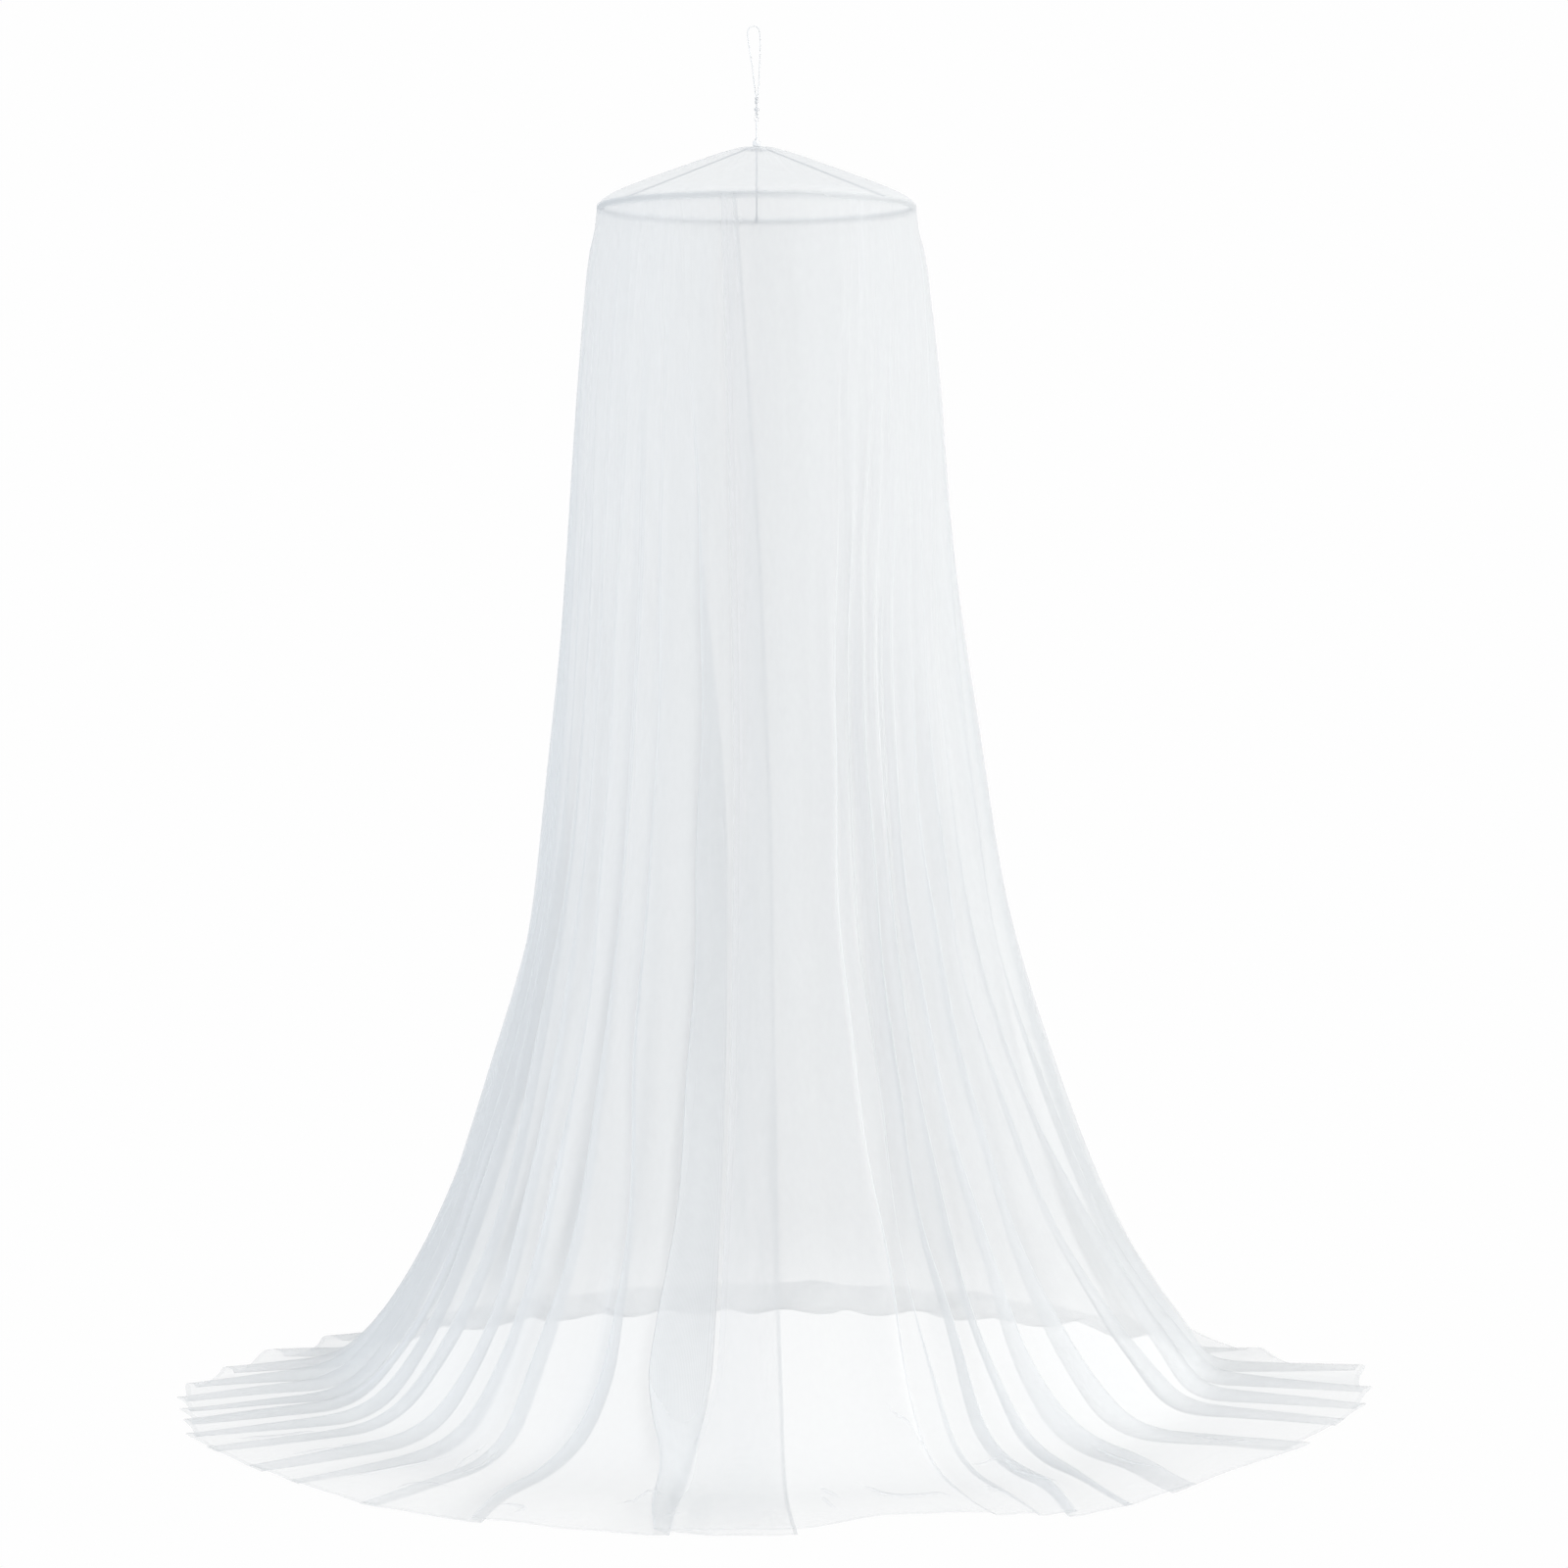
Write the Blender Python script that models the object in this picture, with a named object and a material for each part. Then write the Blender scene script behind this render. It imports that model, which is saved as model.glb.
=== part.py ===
"""Mosquito net canopy on a round hoop, hanging from a cord loop.

Metres, +Z up, the front with its entry towards -Y. The origin is the inside top of the
hanging loop, where a ceiling hook bears; the hem lies on the floor HANG_HEIGHT below it.
Bearings are degrees round the canopy, 0 at the front and positive to the right (+X).
Lengths in the tables are heights above the floor and distances from the canopy's axis.
"""

import math

import bpy
import bmesh
from mathutils import Vector

# ---- overall sizes
HANG_HEIGHT = 2.7025          # inside top of the hanging loop above the floor
HOOP_HEIGHT = 2.350           # centre of the hoop's rod
HOOP_RADIUS = 0.309           # to the centre of the rod
HOOP_ROD = 0.0045             # radius of the rod
HOOP_STEPS = 60               # steps round the hoop and the roof, so their flats line up
SHEET = 0.0015                # thickness of the net as a solid
CLEAR = 0.0003                # gap between pieces that touch
SEAM_GAP = 0.0008             # gap where cloth lies on cloth or on the hoop
SEAM_LAP = 0.010              # how far the wall's top laps the roof's rim

# ---- roof: distance from the axis, height above the hoop's centre
ROOF_RIM = HOOP_RADIUS + HOOP_ROD + SEAM_GAP + SHEET / 2
ROOF_HOLE = 0.0057
ROOF_COLUMNS = ("radius", "rise")
ROOF = (
    (ROOF_HOLE, 0.1172),
    (0.0240, 0.1172),
    (0.0600, 0.1090),
    (0.1250, 0.0870),
    (0.2000, 0.0595),
    (0.2600, 0.0365),
    (0.2950, 0.0205),
    (0.3096, 0.0098),
    (ROOF_RIM, 0.0018),
    (ROOF_RIM, -0.0080),
)

# ---- wall: half widths of the net's outside at each height
WALL_COLUMNS = ("height", "left", "right", "front", "back")
WALL = (
    (2.240, 0.335, 0.336, 0.334, 0.328),
    (2.060, 0.352, 0.359, 0.354, 0.342),
    (1.820, 0.371, 0.382, 0.376, 0.357),
    (1.240, 0.416, 0.458, 0.436, 0.390),
    (1.000, 0.447, 0.504, 0.474, 0.406),
    (0.780, 0.493, 0.559, 0.524, 0.425),
    (0.600, 0.543, 0.617, 0.578, 0.445),
    (0.440, 0.602, 0.680, 0.640, 0.466),
    (0.300, 0.664, 0.746, 0.704, 0.488),
    (0.180, 0.733, 0.815, 0.771, 0.508),
    (0.085, 0.803, 0.880, 0.835, 0.524),
    (0.038, 0.843, 0.906, 0.880, 0.533),
    (0.012, 0.872, 0.925, 0.922, 0.541),
    (0.000, 0.905, 0.945, 0.975, 0.552),
)
SEAM_RADIUS = ROOF_RIM + SEAM_GAP + SHEET

# ---- the hem on the floor: its distance from the axis, by bearing
REACH_COLUMNS = ("bearing", "radius")
REACH = (
    (-180, 0.86), (-150, 0.85), (-130, 0.87), (-118, 0.90), (-108, 0.94), (-98, 1.02),
    (-90, 1.05), (-80, 1.12), (-62, 1.15), (-45, 1.18), (-30, 1.20), (-12, 1.21),
    (3, 1.20), (12, 1.13), (19, 1.14), (28, 1.20), (36, 1.17), (48, 1.14), (60, 1.15),
    (70, 1.19), (82, 1.22), (89, 1.20), (96, 1.12), (104, 1.02), (118, 0.93), (134, 0.89),
    (180, 0.86),
)
FLOOR_SHARES = (0.28, 0.55, 0.80, 1.0)

# ---- folds: bearing of each crest at four levels, its depth, and how far its tip passes the hem
WAIST = 1.00                  # height of the second level; the first is the hoop
FOOT = 0.20                   # height of the third level; the last is the hem
FOLD_COLUMNS = ("hoop", "waist", "foot", "hem", "depth", "tip")
ENTRY_OUTER = (-12.4, -4.6, -5.2, -7.0, 0.0, 0.00)
ENTRY_INNER = (353.0, 363.8, 363.6, 363.2, 0.0, 0.00)
FOLDS = (
    (29, 18.5, 20.0, 20.0, 0.030, 0.01),
    (37, 23.5, 25.0, 23.5, 0.026, 0.01),
    (44, 28.0, 29.5, 27.0, 0.034, 0.03),
    (50, 32.0, 34.0, 32.0, 0.034, 0.03),
    (57, 37.0, 41.0, 41.0, 0.034, 0.02),
    (64, 43.5, 48.0, 53.0, 0.036, 0.05),
    (72, 49.0, 61.0, 67.0, 0.036, 0.02),
    (80, 56.0, 72.0, 74.0, 0.034, 0.02),
    (88, 66.0, 80.0, 81.0, 0.034, 0.03),
    (96, 79.0, 88.0, 89.0, 0.040, 0.03),
    (106, 92.0, 96.0, 100.0, 0.040, 0.03),
    (117, 106.0, 106.0, 112.0, 0.034, 0.01),
    (129, 119.0, 118.0, 122.0, 0.036, 0.02),
    (141, 132.0, 131.0, 134.0, 0.026, 0.00),
    (153, 146.0, 145.0, 147.0, 0.034, 0.02),
    (165, 160.0, 159.0, 160.0, 0.026, 0.00),
    (177, 174.0, 173.0, 172.0, 0.032, 0.02),
    (189, 188.0, 187.0, 185.0, 0.026, 0.00),
    (200, 201.0, 201.0, 199.0, 0.034, 0.01),
    (211, 214.0, 214.0, 213.0, 0.028, 0.02),
    (222, 226.0, 227.0, 226.0, 0.034, 0.00),
    (233, 238.0, 240.0, 239.0, 0.032, 0.02),
    (243, 249.0, 252.0, 254.0, 0.038, 0.04),
    (252, 258.0, 261.0, 261.5, 0.040, 0.04),
    (260, 266.0, 269.0, 270.0, 0.040, 0.03),
    (267, 273.0, 276.0, 279.0, 0.038, 0.03),
    (273, 279.0, 282.0, 285.5, 0.032, 0.03),
    (279, 285.0, 288.0, 290.5, 0.030, 0.03),
    (285, 291.0, 294.0, 296.0, 0.032, 0.03),
    (291, 297.0, 300.0, 301.5, 0.034, 0.02),
    (298, 304.0, 307.0, 309.5, 0.034, 0.02),
    (306, 311.0, 315.0, 315.0, 0.034, 0.02),
    (315, 318.0, 321.0, 320.5, 0.026, 0.03),
    (324, 326.0, 327.5, 327.0, 0.034, 0.03),
    (335, 340.0, 338.0, 336.0, 0.036, 0.01),
)
FOLD_PARTS = 4                # columns of the sheet from one crest to the next
FULL_DEPTH = 0.040            # depth of the deepest fold, at the floor
DEPTH_GROWTH = 1.3            # the folds deepen from nothing at the hoop
RIDGE_TOUCH = 0.70            # share of a fold's depth that stays as a ridge on the floor
RIDGE_HEM = 0.32              # the same at the hem
RIDGE_START = 0.10            # height at which the crests begin to lift off as ridges
ENTRY_LIFT = 0.010            # the outer entry edge lies this far outside the inner one
ENTRY_LIFT_TOP = 0.0035       # the same at the hoop
ENTRY_LIFT_GROWN = 0.33       # share of the drop below which the lift is whole

# ---- support cords, disc, cap, pin
CORD_RADIUS = 0.0015
DISC_RADIUS = 0.0220
DISC_THICK = 0.0050
CAP_RADIUS = 0.0080
CAP_TOP_RADIUS = 0.0044
CAP_HEIGHT = 0.0135
ROUNDING = 0.0012             # of the disc's rims; the cap's shoulder is three times as deep
SPIGOT_RADIUS = 0.0034
EYE_RADIUS = 0.0039
EYE_WIRE = 0.0010
SHANK_RADIUS = 0.0018
SHANK_TOP = 2.5195            # height of the shank's top, in the eye's wire
EYE_TOP = SHANK_TOP + 2 * EYE_RADIUS + EYE_WIRE
EYE_STEPS = 20
TURNED_STEPS = 20
KNOT_STEPS = 12
ROUND_STEPS = 8               # steps round the section of the hoop's rod and the pin

# ---- hanging loop and its knots
LOOP_RADIUS = 0.00125
LOOP_STEP = 0.0062            # spacing of the points along the loop
KNOT_TOP = 2.5665
KNOT_COLUMNS = ("radius", "height")
KNOT = (
    (0.0030, KNOT_TOP), (0.0036, 2.5632), (0.0034, 2.5588), (0.0020, 2.5543),
    (0.0022, 2.5488), (0.0043, 2.5456), (0.0050, 2.5424), (0.0041, 2.5390),
    (0.0020, 2.5362), (0.0026, 2.5325), (0.0020, EYE_TOP + CLEAR),
)
LOOP_COLUMNS = ("side", "height")
LOOP = (
    (-0.0015, KNOT_TOP + CLEAR), (-0.0031, 2.5801), (-0.0050, 2.5973), (-0.0088, 2.6280),
    (-0.0130, 2.6540), (-0.0160, 2.6740), (-0.0176, 2.6890), (-0.0160, 2.6995),
    (-0.0105, 2.7046), (-0.0035, 2.7053), (0.0028, 2.7020), (0.0062, 2.6930),
    (0.0073, 2.6701), (0.0066, 2.6414), (0.0056, 2.6126), (0.0045, 2.5916),
    (0.0029, 2.5763), (0.0015, KNOT_TOP + CLEAR),
)

# ---- finishes: colour, roughness, metallic
NET_WHITE = ((0.86, 0.89, 0.92), 0.85, 0.0)
CORD_WHITE = ((0.84, 0.85, 0.86), 0.70, 0.0)
PLASTIC_WHITE = ((0.85, 0.86, 0.87), 0.40, 0.0)
WIRE_GREY = ((0.55, 0.56, 0.57), 0.30, 1.0)


def up(height):
    """Z of a height above the floor."""
    return height - HANG_HEIGHT


def clear_scene():
    for old in list(bpy.data.objects):
        bpy.data.objects.remove(old, do_unlink=True)


def finish(name, values):
    colour, roughness, metallic = values
    material = bpy.data.materials.get(name) or bpy.data.materials.new(name)
    material.use_nodes = True
    shader = material.node_tree.nodes["Principled BSDF"]
    shader.inputs["Base Color"].default_value = (*colour, 1.0)
    shader.inputs["Roughness"].default_value = roughness
    shader.inputs["Metallic"].default_value = metallic
    material.diffuse_color = (*colour, 1.0)
    return material


def add_object(name, data, material):
    thing = bpy.data.objects.new(name, data)
    bpy.context.scene.collection.objects.link(thing)
    data.materials.append(material)
    return thing


def mesh_object(name, shape, material, smooth=True):
    data = bpy.data.meshes.new(name)
    bmesh.ops.recalc_face_normals(shape, faces=shape.faces)
    shape.to_mesh(data)
    shape.free()
    if smooth:
        data.shade_smooth()
    return add_object(name, data, material)


def polar(bearing, radius, height):
    turn = math.radians(bearing)
    return Vector((radius * math.sin(turn), -radius * math.cos(turn), up(height)))


def mix(a, b, share):
    return a + (b - a) * share


def ease(share):
    share = min(max(share, 0.0), 1.0)
    return share * share * (3.0 - 2.0 * share)


# ---- sheets of net ----------------------------------------------------------------------

def net_sheet(name, rows, closed, material):
    """A cloth sheet through rows of points, top row first, thickened to SHEET."""
    shape = bmesh.new()
    grid = [[shape.verts.new(point) for point in row] for row in rows]
    wide = len(rows[0])
    for above, below in zip(grid, grid[1:]):
        for left in range(wide if closed else wide - 1):
            right = (left + 1) % wide
            shape.faces.new((above[left], below[left], below[right]))
            shape.faces.new((above[left], below[right], above[right]))
    sheet = mesh_object(name, shape, material)
    solid = sheet.modifiers.new("thickness", "SOLIDIFY")
    solid.thickness = SHEET
    solid.offset = 0.0
    return sheet


def net_roof(material):
    bearings = [360.0 * step / HOOP_STEPS for step in range(HOOP_STEPS)]
    rows = [[polar(bearing, radius, HOOP_HEIGHT + rise) for bearing in bearings]
            for radius, rise in ROOF]
    return net_sheet("net_roof", rows, True, material)


def oval(bearing, left, right, front, back):
    """Distance from the axis of an outline of four quarter ellipses."""
    turn = math.radians(bearing)
    across, along = math.sin(turn), math.cos(turn)
    side = right if across > 0 else left
    depth = front if along > 0 else back
    return 1.0 / math.hypot(across / side, along / depth)


def reach(bearing):
    """Distance of the hem from the axis."""
    bearing = (bearing + 180.0) % 360.0 - 180.0
    for (start, near), (end, far) in zip(REACH, REACH[1:]):
        if bearing <= end:
            return mix(near, far, ease((bearing - start) / (end - start)))
    return REACH[-1][1]


def fold_bearing(fold, height, floor_share):
    """Bearing of a fold's crest at a height, or past the foot at a share of the floor part."""
    at_hoop, at_waist, at_foot, at_hem = fold[:4]
    if floor_share > 0.0:
        return mix(at_foot, at_hem, floor_share)
    if height > WAIST:
        fallen = (HOOP_HEIGHT - height) / (HOOP_HEIGHT - WAIST)
        return mix(at_hoop, at_waist, 1.0 - (1.0 - fallen) ** 2)
    return mix(at_waist, at_foot, min((WAIST - height) / (WAIST - FOOT), 1.0))


def crest(share):
    """Swell of a fold, 1 on its crest and 0 from halfway to the next crest."""
    if share >= 0.5:
        return 0.0
    return 0.5 + 0.5 * math.cos(2.0 * math.pi * share)


def wall_columns():
    """For each column of the sheet: its two folds, its place between them, and its lift."""
    folds = (ENTRY_OUTER,) + FOLDS + (ENTRY_INNER,)
    columns = []
    for number, (fold, following) in enumerate(zip(folds, folds[1:])):
        for part in range(FOLD_PARTS):
            share = part / FOLD_PARTS
            lift = ease(2.0 - 2.0 * share) if number == 0 else 0.0
            columns.append((fold, following, share, lift))
    columns.append((folds[-2], folds[-1], 1.0, 0.0))
    return columns


def column_place(column, height, floor_share):
    """Bearing, fold depth, tip and lift of a column at one level."""
    fold, following, share, lift = column
    bearing = mix(fold_bearing(fold, height, floor_share),
                  fold_bearing(following, height, floor_share), share)
    depth = fold[4] * crest(share) + following[4] * crest(1.0 - share)
    tip = fold[5] * crest(share) + following[5] * crest(1.0 - share)
    fallen = ease((HOOP_HEIGHT - height) / (HOOP_HEIGHT * ENTRY_LIFT_GROWN))
    return bearing, depth, tip, lift * mix(ENTRY_LIFT_TOP, ENTRY_LIFT, fallen)


def hanging_row(columns, height, widths):
    grown = (max(HOOP_HEIGHT - height, 0.0) / HOOP_HEIGHT) ** DEPTH_GROWTH
    ridge = RIDGE_TOUCH * max(1.0 - height / RIDGE_START, 0.0)
    row = []
    for column in columns:
        bearing, depth, _, lift = column_place(column, height, 0.0)
        radius = oval(bearing, *widths) + (depth - FULL_DEPTH) * grown + lift
        row.append(polar(bearing, radius, height + depth * ridge))
    return row


def floor_row(columns, widths, share):
    ridge = mix(RIDGE_TOUCH, RIDGE_HEM, share)
    row = []
    for column in columns:
        bearing, depth, tip, lift = column_place(column, 0.0, share)
        touch = oval(bearing, *widths) - FULL_DEPTH + depth * ridge * (1.0 - share)
        radius = mix(touch, reach(bearing) + tip, share)
        row.append(polar(bearing, radius, SHEET / 2 + depth * ridge + lift))
    return row


def net_wall(material):
    columns = wall_columns()
    seam = (SEAM_RADIUS,) * 4
    rows = [hanging_row(columns, HOOP_HEIGHT, seam)]
    rows.append(hanging_row(columns, HOOP_HEIGHT - SEAM_LAP, seam))
    for height, *widths in WALL[:-1]:
        rows.append(hanging_row(columns, height, widths))
    touch_widths = WALL[-1][1:]
    rows.append(floor_row(columns, touch_widths, 0.0))
    for share in FLOOR_SHARES:
        rows.append(floor_row(columns, touch_widths, share))
    return net_sheet("net_wall", rows, False, material)


# ---- hoop, cords and fittings -----------------------------------------------------------

def turned(name, profile, steps, material):
    """A closed round body about the axis, from (radius, height) points, top first."""
    shape = bmesh.new()
    outline = [(0.0, profile[0][1]), *profile, (0.0, profile[-1][1])]
    points = [shape.verts.new((radius, 0.0, up(height))) for radius, height in outline]
    edges = [shape.edges.new(pair) for pair in zip(points, points[1:])]
    bmesh.ops.spin(shape, geom=points + edges, cent=(0, 0, 0), axis=(0, 0, 1),
                   angle=math.tau, steps=steps, use_merge=True)
    bmesh.ops.remove_doubles(shape, verts=shape.verts, dist=1e-6)
    body = mesh_object(name, shape, material)
    body.data.set_sharp_from_angle(angle=math.radians(40))
    return body


def ring(name, radius, wire, steps, sides, material):
    bpy.ops.mesh.primitive_torus_add(major_radius=radius, minor_radius=wire,
                                     major_segments=steps, minor_segments=sides)
    body = bpy.context.active_object
    body.name = name
    body.data.name = name
    body.data.materials.append(material)
    body.data.shade_smooth()
    return body


def hoop(material):
    rod = ring("hoop", HOOP_RADIUS, HOOP_ROD, HOOP_STEPS, ROUND_STEPS, material)
    rod.location.z = up(HOOP_HEIGHT)
    return rod


def tube(name, points, radius, material):
    """A round cord along points, its ends capped."""
    path = bpy.data.curves.new(name, "CURVE")
    path.dimensions = "3D"
    path.bevel_depth = radius
    path.bevel_resolution = 2
    path.use_fill_caps = True
    spline = path.splines.new("POLY")
    spline.points.add(len(points) - 1)
    for place, point in zip(spline.points, points):
        place.co = (*point, 1.0)
    return add_object(name, path, material)


def support_cords(material):
    """Four straight cords from the rim of the disc to the hoop."""
    disc_middle = ROOF[0][1] - SHEET / 2 - CLEAR - DISC_THICK / 2
    for side, bearing in (("front", 0), ("right", 90), ("back", 180), ("left", 270)):
        top = polar(bearing, DISC_RADIUS + CLEAR, HOOP_HEIGHT + disc_middle)
        foot = polar(bearing, HOOP_RADIUS, HOOP_HEIGHT)
        along = (foot - top).normalized()
        ends = (top + along * CORD_RADIUS, foot - along * (HOOP_ROD + 2 * CLEAR))
        tube(f"support_cord_{side}", ends, CORD_RADIUS, material)


def apex_fittings(plastic, wire):
    roof_top = HOOP_HEIGHT + ROOF[0][1]
    disc_top = roof_top - SHEET / 2 - CLEAR
    disc_foot = disc_top - DISC_THICK
    cap_foot = roof_top + SHEET / 2 + CLEAR
    cap_top = cap_foot + CAP_HEIGHT
    turned("apex_disc", ((DISC_RADIUS - ROUNDING, disc_top), (DISC_RADIUS, disc_top - ROUNDING),
                         (DISC_RADIUS, disc_foot + ROUNDING),
                         (DISC_RADIUS - ROUNDING, disc_foot)), TURNED_STEPS, plastic)
    turned("apex_cap", ((CAP_TOP_RADIUS, cap_top), (CAP_RADIUS, cap_top - 3 * ROUNDING),
                        (CAP_RADIUS, cap_foot), (SPIGOT_RADIUS, cap_foot),
                        (SPIGOT_RADIUS, disc_top + CLEAR)), TURNED_STEPS, plastic)
    eye_pin(cap_top + CLEAR, wire)


def eye_pin(foot, material):
    """A wire eye, upright across the front, joined to a shank that flares at its foot."""
    flare = 2 * SHANK_RADIUS
    shank = turned("shank", ((SHANK_RADIUS, SHANK_TOP), (SHANK_RADIUS, foot + 2 * flare),
                             (flare, foot)), ROUND_STEPS, material)
    eye = ring("eye_pin", EYE_RADIUS, EYE_WIRE, EYE_STEPS, ROUND_STEPS, material)
    eye.rotation_euler.x = math.pi / 2
    eye.location.z = up(SHANK_TOP) + EYE_RADIUS
    shank.rotation_euler.z = math.pi / ROUND_STEPS
    joint = eye.modifiers.new("shank", "BOOLEAN")
    joint.operation = "UNION"
    joint.solver = "EXACT"
    joint.object = shank
    shank.hide_render = True
    shank.display_type = "WIRE"


def loop_knot(material):
    turned("loop_knot", KNOT, KNOT_STEPS, material)


def smooth_path(points, step):
    """Points evenly spaced by about step along a smooth curve through the given points."""
    padded = [2 * points[0] - points[1], *points, 2 * points[-1] - points[-2]]
    dense = [points[0]]
    for before, start, end, after in zip(padded, padded[1:], padded[2:], padded[3:]):
        for part in range(1, 9):
            t = part / 8
            dense.append(0.5 * (2 * start + (end - before) * t
                                + (2 * before - 5 * start + 4 * end - after) * t ** 2
                                + (3 * start - before - 3 * end + after) * t ** 3))
    gone = [0.0]
    for start, end in zip(dense, dense[1:]):
        gone.append(gone[-1] + (end - start).length)
    count = round(gone[-1] / step)
    path, place = [], 0
    for number in range(count + 1):
        target = gone[-1] * number / count
        while place < len(gone) - 2 and gone[place + 1] < target:
            place += 1
        share = (target - gone[place]) / (gone[place + 1] - gone[place])
        path.append(dense[place].lerp(dense[place + 1], share))
    return path


def hanging_loop(material):
    route = [Vector((side, 0.0, up(height))) for side, height in LOOP]
    tube("hanging_loop", smooth_path(route, LOOP_STEP), LOOP_RADIUS, material)


def main():
    clear_scene()
    net = finish("white net", NET_WHITE)
    cord = finish("white cord", CORD_WHITE)
    plastic = finish("white plastic", PLASTIC_WHITE)
    wire = finish("zinc wire", WIRE_GREY)
    net_roof(net)
    net_wall(net)
    hoop(plastic)
    support_cords(cord)
    apex_fittings(plastic, wire)
    loop_knot(cord)
    hanging_loop(cord)


main()
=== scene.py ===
"""Mosquito net canopy: the finished net, hoop, cords and fittings, in a pale studio.

Metres, in the part's own frame: the origin is the inside top of the hanging loop and the
floor lies HANG_HEIGHT below it. Bearings are degrees round the canopy, 0 at the front
(-Y) and positive to the right (+X). Heights are above the floor, radii from the axis.
"""

import math

import bmesh
import bpy
import numpy as np
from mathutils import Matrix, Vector


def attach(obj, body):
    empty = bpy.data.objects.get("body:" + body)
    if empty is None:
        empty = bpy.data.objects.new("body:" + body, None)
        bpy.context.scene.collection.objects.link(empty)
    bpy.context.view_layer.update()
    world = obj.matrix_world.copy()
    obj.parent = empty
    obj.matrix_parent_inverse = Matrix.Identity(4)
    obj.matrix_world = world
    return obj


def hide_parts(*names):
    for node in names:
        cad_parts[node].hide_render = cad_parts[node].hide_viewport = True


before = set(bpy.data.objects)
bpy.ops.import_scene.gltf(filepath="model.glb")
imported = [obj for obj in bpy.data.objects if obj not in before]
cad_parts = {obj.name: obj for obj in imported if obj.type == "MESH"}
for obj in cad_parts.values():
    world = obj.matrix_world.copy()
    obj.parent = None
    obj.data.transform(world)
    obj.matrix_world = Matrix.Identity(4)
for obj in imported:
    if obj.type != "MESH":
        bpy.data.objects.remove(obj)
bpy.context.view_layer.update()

# ---- sizes that the part's solids share
HANG_HEIGHT = 2.7025
HOOP_HEIGHT = 2.350
HOOP_RADIUS = 0.309
HOOP_ROD = 0.0045
ROOF_RIM = HOOP_RADIUS + HOOP_ROD + 0.0008
SEAM_RADIUS = ROOF_RIM + 0.0016
NET_FLOOR = 0.0012  # height of the net's middle where it lies on the floor

# ---- the wall: heights, and the half widths of its outside there: left, right, front, back
WALL = (
    (2.350, 0.3168, 0.3168, 0.3168, 0.3168),
    (2.338, 0.3170, 0.3172, 0.3170, 0.3166),
    (2.240, 0.335, 0.336, 0.334, 0.328),
    (2.060, 0.352, 0.359, 0.354, 0.342),
    (1.820, 0.371, 0.382, 0.376, 0.357),
    (1.520, 0.392, 0.414, 0.402, 0.373),
    (1.240, 0.416, 0.458, 0.436, 0.390),
    (1.000, 0.447, 0.504, 0.474, 0.406),
    (0.780, 0.493, 0.559, 0.524, 0.425),
    (0.600, 0.543, 0.617, 0.578, 0.445),
    (0.440, 0.602, 0.680, 0.640, 0.466),
    (0.300, 0.664, 0.746, 0.704, 0.488),
    (0.180, 0.733, 0.815, 0.771, 0.508),
    (0.085, 0.803, 0.880, 0.835, 0.524),
    (0.038, 0.843, 0.906, 0.880, 0.533),
    (0.012, 0.872, 0.925, 0.922, 0.541),
    (0.000, 0.905, 0.945, 0.975, 0.552),
)
REACH = (  # how far from the axis the hem lies, by bearing
    (-180, 0.86), (-150, 0.85), (-130, 0.87), (-118, 0.90), (-108, 0.925), (-102, 0.95),
    (-96, 1.02), (-90, 1.06), (-80, 1.145), (-72, 1.15), (-62, 1.185), (-45, 1.19),
    (-30, 1.22), (-12, 1.215), (3, 1.20), (12, 1.13), (19, 1.14), (28, 1.22), (36, 1.20),
    (48, 1.17), (60, 1.175), (70, 1.20), (80, 1.215), (85, 1.21), (90, 1.215), (93, 1.10),
    (97, 1.06), (104, 1.01), (118, 0.93), (134, 0.89), (180, 0.86),
)
WAIST = 1.00  # the two heights between hoop and floor that the folds name
FOOT = 0.20
FULL_DEPTH = 0.040  # the outline is a crest's of this depth
DEPTH_GROWTH = 1.3  # how late the folds deepen on the way down
RIDGE_TOUCH = 0.70  # what is left of a fold's depth where it meets the floor
RIDGE_HEM = 0.32  # and at the hem
RIDGE_START = 0.10  # height at which the folds start to sink
FLOOR_START = 0.05  # height at which the net starts to lie down

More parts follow.
